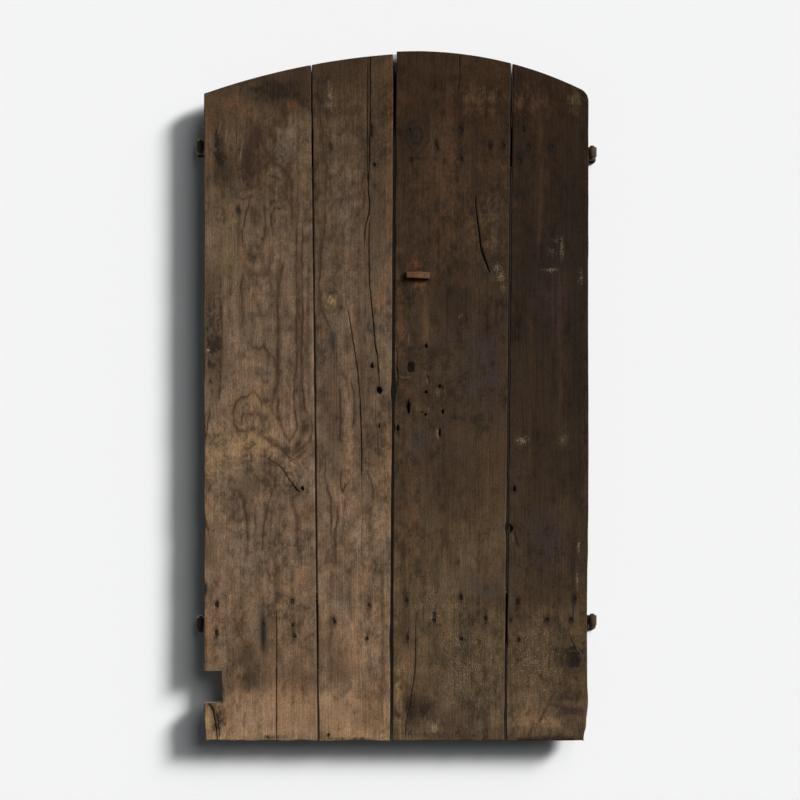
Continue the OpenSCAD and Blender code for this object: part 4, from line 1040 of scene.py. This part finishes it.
def wall_paint(colour):
    """Smooth pale wall, seen from its front only, so that a view from behind shows the door's back. The part
    that shows through the tops of the three seams of the closed pair is painted dark, a painted shade where
    the lamps light the wall: it lies under both arches and within 2.5 mm beyond a seam's edges, and its sky
    is covered both on the left and on the right, so no leaf beside it is open. The meeting of the leaves
    flares to the right at its top."""
    material, tree, place = new_material("pale_wall")
    x, _, z = add(tree, "SeparateXYZ", [place]).node.outputs
    up, farther = 0.95, 1.015
    # Painted shade on the wall behind the seam tops, which the lamps light over the arch: the paint darkens
    # them
    dark = 0.0
    for (left, right), lean, flare in ((LEFT_SEAM, LEFT_SEAM_LEAN, 0), (MEETING_GAP, MEETING_LEAN, 5 * MM),
                                       (RIGHT_SEAM, RIGHT_SEAM_LEAN, 0)):
        middle = ((left + right + flare) / 2 + up * lean) * farther
        half = (right - left + flare) / 2 + 2.5 * MM
        near = add(tree, "Math", (x, middle, half), operation="COMPARE")
        dark = add(tree, "Math", (near, dark), operation="ADD")
    limits = [(z, 1740 * MM, 1800 * MM, 0.0, 1.0)]
    flat = add(tree, "VectorMath", (place, (1, 0, 1)), operation="MULTIPLY")
    for centre, radius, crown in (LEFT_ARCH, RIGHT_ARCH):
        away = add(tree, "VectorMath", (flat, (centre, 0, crown - radius)), "Value", operation="DISTANCE")
        limits.append((away, radius + 13 * MM, radius + 15 * MM, 1.0, 0.0))
    skies = []
    for side in (-0.9, 0.9):
        outward = add(tree, "CombineXYZ", (side, -0.44, 0.0))
        sky = {"Distance": 400 * MM, "Normal": outward}
        skies.append(add(tree, "AmbientOcclusion", sky, "AO", samples=16))
    limits.append((add(tree, "Math", skies, operation="MAXIMUM"), 0.7, 0.85, 0.99, 0.0))
    for limit in limits:
        dark = add(tree, "Math", (dark, add(tree, "MapRange", limit)), operation="MULTIPLY")
    paint = shaded(tree, colour, (dark, 0.0, 1.0, 1.0, 0.0))
    front = add(tree, "BsdfPrincipled", {"Base Color": paint, "Roughness": 1.0, "Specular IOR Level": 0.0})
    behind = add(tree, "NewGeometry", out="Backfacing")
    both = add(tree, "MixShader", (behind, front, add(tree, "BsdfTransparent")))
    add(tree, "OutputMaterial", {"Surface": both}, is_active_output=True)
    return material


def coat(node, material):
    """Gives a node of the frame this material in place of its own."""
    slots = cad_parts[node].data.materials
    slots.clear()
    slots.append(material)


def eased_copy(node, name, material, bevel, wave):
    """Copy of a node's solid with its triangles welded, flat faces joined, arrises eased by a bevel and
    its surface moved in and out by slow noise, as a hammer or wear leaves it."""
    mesh = bmesh.new()
    mesh.from_mesh(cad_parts[node].data)
    bmesh.ops.remove_doubles(mesh, verts=mesh.verts, dist=0.01 * MM)
    bmesh.ops.dissolve_limit(mesh, angle_limit=math.radians(1.5), verts=mesh.verts, edges=mesh.edges)
    sharp = [e for e in mesh.edges if e.is_manifold and e.calc_face_angle(0) > math.radians(28)]
    bmesh.ops.bevel(mesh, geom=sharp, offset=bevel, offset_type="OFFSET", segments=2, profile=0.5,
                    affect="EDGES", clamp_overlap=True)
    bmesh.ops.triangulate(mesh, faces=[f for f in mesh.faces if len(f.verts) > 4])
    points = np.array([v.co[:] for v in mesh.verts])
    normals = np.array([v.normal[:] for v in mesh.verts])
    move = wave * soft_noise(points[:, 0] + points[:, 1], points[:, 2], 18 * MM, 18 * MM, len(node)) - wave
    points = points + normals * move[:, None]
    faces = [[v.index for v in f.verts] for f in mesh.faces]
    mesh.free()
    piece = new_piece(name, points, faces, body_of_node(node), material, 40)
    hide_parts(node)
    return piece


def ledge_surface(node, seed):
    """Ledge as a tube along X: its section is the sawn section with chamfered back arrises and sides
    eased by 2 mm, and the surface cups and dips by value noise drawn along the grain."""
    low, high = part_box(node)
    chamfer, ease = 8 * MM, 2 * MM
    y0, y1, z0, z1 = low[1], high[1], low[2], high[2]
    outline = [(y0, z0 + ease), (y0, z1 - ease), (y0 + ease, z1), (y1 - chamfer, z1), (y1, z1 - chamfer),
               (y1, z0 + chamfer), (y1 - chamfer, z0), (y0 + ease, z0)]
    section = []
    for (ay, az), (by, bz) in zip(outline, outline[1:] + outline[:1]):
        steps = max(1, round(math.hypot(by - ay, bz - az) / (4 * MM)))
        for k in range(steps):
            section.append((ay + (by - ay) * k / steps, az + (bz - az) * k / steps))
    section = np.array(section)
    x = np.arange(low[0], high[0], 8 * MM)
    x = np.append(x[(high[0] - x) > 3 * MM], high[0])
    gx, gy = np.meshgrid(x, section[:, 0], indexing="ij")
    gz = np.repeat(section[None, :, 1], len(x), axis=0)
    off_z = gz - (z0 + z1) / 2
    behind = gy > y0 + 0.5 * MM
    worn = (0.5 + 0.5 * soft_noise(gz, gx, 9 * MM, 160 * MM, seed)) * 0.9 * MM
    worn = worn + (0.5 + 0.5 * soft_noise(gz + gy, gx, 30 * MM, 90 * MM, seed + 1)) * 0.8 * MM
    end = np.minimum(gx - low[0], high[0] - gx)
    worn = worn + 1.5 * MM * np.exp(-end / (4 * MM))
    nearest_y = (y1 - gy) < 0.2 * MM
    gy = np.where(behind & nearest_y, gy - worn, gy)
    gz = np.where(behind & ~nearest_y, gz - np.sign(off_z) * worn, gz)
    points = np.stack([gx, gy, gz], axis=-1).reshape(-1, 3)
    total = len(section)
    quads = tube_quads(len(x), total)
    ends = [list(range(total))[::-1], [(len(x) - 1) * total + i for i in range(total)]]
    return points, [q[::-1] for q in quads.reshape(-1, 4).tolist()] + [e[::-1] for e in ends]


def colour_setting(name, description, hex_colour):
    """One colour of the settings."""
    return FloatVectorProperty(name=name, description=description, subtype="COLOR",
                               default=linear(hex_colour))


class DoorSettings(PropertyGroup):
    """Sizes and colours of the weathered finish."""

    column_pitch: FloatProperty(name="Column pitch", description="Distance between a board's columns",
                                default=1.6 * MM, unit="LENGTH")
    left_foot: colour_setting("Left foot", "Left leaf near its foot", "#8e7256")
    left_low: colour_setting("Left low", "Left leaf, just above the foot", "#6d5641")
    left_middle: colour_setting("Left middle", "Left leaf at its middle", "#6d5845")
    left_crown: colour_setting("Left crown", "Left leaf under the arch", "#4c3a28")
    right_foot: colour_setting("Right foot", "Right leaf near its foot", "#594734")
    right_low: colour_setting("Right low", "Right leaf, just above the foot", "#55432f")
    right_middle: colour_setting("Right middle", "Right leaf at its middle", "#392b1e")
    right_crown: colour_setting("Right crown", "Right leaf under the arch", "#322112")
    wall: colour_setting("Wall", "Colour of the wall", "#f4f4f4")
    lens: FloatProperty(name="Lens", description="Focal length of the camera, in millimetres", default=85.0)
    distance: FloatProperty(name="Camera distance", description="Camera to the boards' front",
                            default=5.475, unit="LENGTH")


class DOOR_OT_boards(Operator):
    """Worn surface for each of the four boards, with its splits, knots, holes and stains"""

    bl_idname = "door.boards"
    bl_label = "Boards"

    def execute(self, context):
        settings = context.scene.door_settings
        material = named_material(weathered_softwood, "weathered_softwood")
        for name, (leaf, *_) in BOARDS.items():
            points, faces, colour, flow, bloom = board_surface(name, settings)
            piece = new_piece("worn_" + name, points, faces, leaf + "_leaf", material)
            store(piece.data, "stain", "FLOAT_COLOR", np.column_stack([colour, np.ones(len(colour))]))
            store(piece.data, "flow", "FLOAT", flow)
            store(piece.data, "bloom", "FLOAT", bloom)
            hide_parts(name)
        return {"FINISHED"}


class DOOR_OT_ledges(Operator):
    """Sawn ledges across the back"""

    bl_idname = "door.ledges"
    bl_label = "Ledges"

    def execute(self, context):
        material = named_material(sawn_wood, "sawn_ledge_wood", "#6f5844", "#4f3c2c", 5.0)
        for seed, node in enumerate(LEDGES):
            points, faces = ledge_surface(node, 200 + seed * 5)
            piece = new_piece("sawn_" + node, points, faces, body_of_node(node), material, 35)
            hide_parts(node)
        return {"FINISHED"}


class DOOR_OT_irons(Operator):
    """Forged straps and wall pintles"""

    bl_idname = "door.irons"
    bl_label = "Straps and pintles"

    def execute(self, context):
        material = named_material(forged_iron, "rusted_forged_iron", "#2c2018", "#41301f", "#5a4030", 0.1,
                                  16.667)
        for node in STRAPS:
            eased_copy(node, "forged_" + node, material, 0.9 * MM, 0.15 * MM)
        for node in PINTLES:
            coat(node, material)
        return {"FINISHED"}


class DOOR_OT_nails(Operator):
    """Rusted iron on the clenched nails and brads"""

    bl_idname = "door.nails"
    bl_label = "Nails and brads"

    def execute(self, context):
        dark, rusted, brad = (
            named_material(forged_iron, name + "_iron", *colours, 0.0, patch_size)
            for name, colours, patch_size in (
                ("blackened_nail", ("#110d0a", "#1d1510", "#241b15"), 16.667),
                ("rusted_nail", ("#1c140f", "#3a271b", "#3c2a1f"), 58.824),
                ("browned_brad", ("#46301f", "#523a28", "#5c4230"), 16.667)))
        for node in NAIL_NODES:
            coat(node, dark if "right" in node else rusted)
        coat("stop_block_brads", brad)
        return {"FINISHED"}


class DOOR_OT_stop_block(Operator):
    """Small worn block nailed to the right leaf"""

    bl_idname = "door.stop_block"
    bl_label = "Stop block"

    def execute(self, context):
        material = named_material(sawn_wood, "worn_hardwood", "#64452a", "#422c1c", 4.0)
        eased_copy("stop_block", "worn_stop_block", material, 1.6 * MM, 0.3 * MM)
        return {"FINISHED"}


class DOOR_OT_stage(Operator):
    """Pale wall behind the door, soft light from the upper right, and the camera. The light from behind
    shows the door's back, and none of it bounces off it onto the wall behind the seams"""

    bl_idname = "door.stage"
    bl_label = "Wall, light and camera"

    def execute(self, context):
        settings = context.scene.door_settings
        scene = context.scene
        wall_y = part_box("upper_left_pintle")[1][1] - SPIKE_IN_WALL
        half = 4.0
        mesh = bpy.data.meshes.new("wall")
        corners = ((-half, -half), (half, -half), (half, half), (-half, half))
        mesh.from_pydata([(x, wall_y, z) for x, z in corners], [], [(0, 1, 2, 3)])
        mesh.materials.append(wall_paint(settings.wall))
        wall = bpy.data.objects.new("wall", mesh)
        scene.collection.objects.link(wall)
        for ray in ("diffuse", "glossy", "shadow"):
            setattr(wall, "visible_" + ray, False)

        world = bpy.data.worlds.new("pale_room")
        scene.world = world
        world.use_nodes = True
        tree = world.node_tree
        tree.nodes.clear()
        seen = 0.0
        for ray in ("Is Camera Ray", "Is Glossy Ray", "Is Transmission Ray"):
            seen = add(tree, "Math", (seen, add(tree, "LightPath", out=ray)), operation="MAXIMUM")
        room = add(tree, "Background", ((0.86, 0.93, 1), 0.05))
        backdrop = add(tree, "Background", (settings.wall, 1.0))
        add(tree, "OutputWorld", {"Surface": add(tree, "MixShader", (seen, room, backdrop))})

        for name, energy, angle, place in (("key_light_low", 2.33, 14, (1.48, -1.0, 0.92)),
                                           ("key_light_high", 2.5, 14, (1.57, -1.0, 1.18)),
                                           ("side_light", 1.2, 50, (1.0, -1.0, 1.0)),
                                           ("back_light", 2.9, 40, (-0.6, 1.0, 0.7))):
            lamp = bpy.data.lights.new(name, "SUN")
            lamp.energy = energy
            lamp.angle = math.radians(angle)
            if name == "back_light":
                lamp.cycles.max_bounces = 0
            holder = bpy.data.objects.new(name, lamp)
            scene.collection.objects.link(holder)
            holder.rotation_euler = sun_turn(*place)

        camera = bpy.data.cameras.new("camera")
        camera.lens = settings.lens
        camera.sensor_width = 36.0
        eye = bpy.data.objects.new("camera", camera)
        scene.collection.objects.link(eye)
        photo_middle = 400
        middle_x, middle_z = on_leaf(photo_middle, photo_middle)
        eye.location = (middle_x, FRONT_Y - settings.distance, middle_z)
        eye.rotation_euler = (math.radians(90), 0, 0)
        scene.camera = eye
        scene.view_settings.view_transform = "Standard"
        return {"FINISHED"}


def sun_turn(x, y, z):
    """Turn of a lamp that shines from the direction (x, y, z) towards the origin: it first tips from
    straight down, then swings round Z."""
    flat = math.hypot(x, y)
    return (math.atan2(flat, z), 0, math.atan2(x, -y))


class DOOR_PT_panel(Panel):
    """Lists the operators and the settings"""

    bl_idname = "DOOR_PT_panel"
    bl_label = "Arched plank door"
    bl_space_type = "VIEW_3D"
    bl_region_type = "UI"
    bl_category = "Door"

    def draw(self, context):
        for name in DoorSettings.__annotations__:
            self.layout.prop(context.scene.door_settings, name)
        for operator in OPERATORS:
            self.layout.operator(operator.bl_idname)


OPERATORS = (DOOR_OT_boards, DOOR_OT_ledges, DOOR_OT_irons, DOOR_OT_nails, DOOR_OT_stop_block, DOOR_OT_stage)
CLASSES = (DoorSettings, *OPERATORS, DOOR_PT_panel)


def register():
    for cls in CLASSES:
        bpy.utils.register_class(cls)
    bpy.types.Scene.door_settings = PointerProperty(type=DoorSettings)


def unregister():
    del bpy.types.Scene.door_settings
    for cls in reversed(CLASSES):
        bpy.utils.unregister_class(cls)


def main():
    register()
    for operator in OPERATORS:
        group, action = operator.bl_idname.split(".")
        getattr(getattr(bpy.ops, group), action)()
    bpy.context.view_layer.update()


if __name__ == "__main__":
    main()
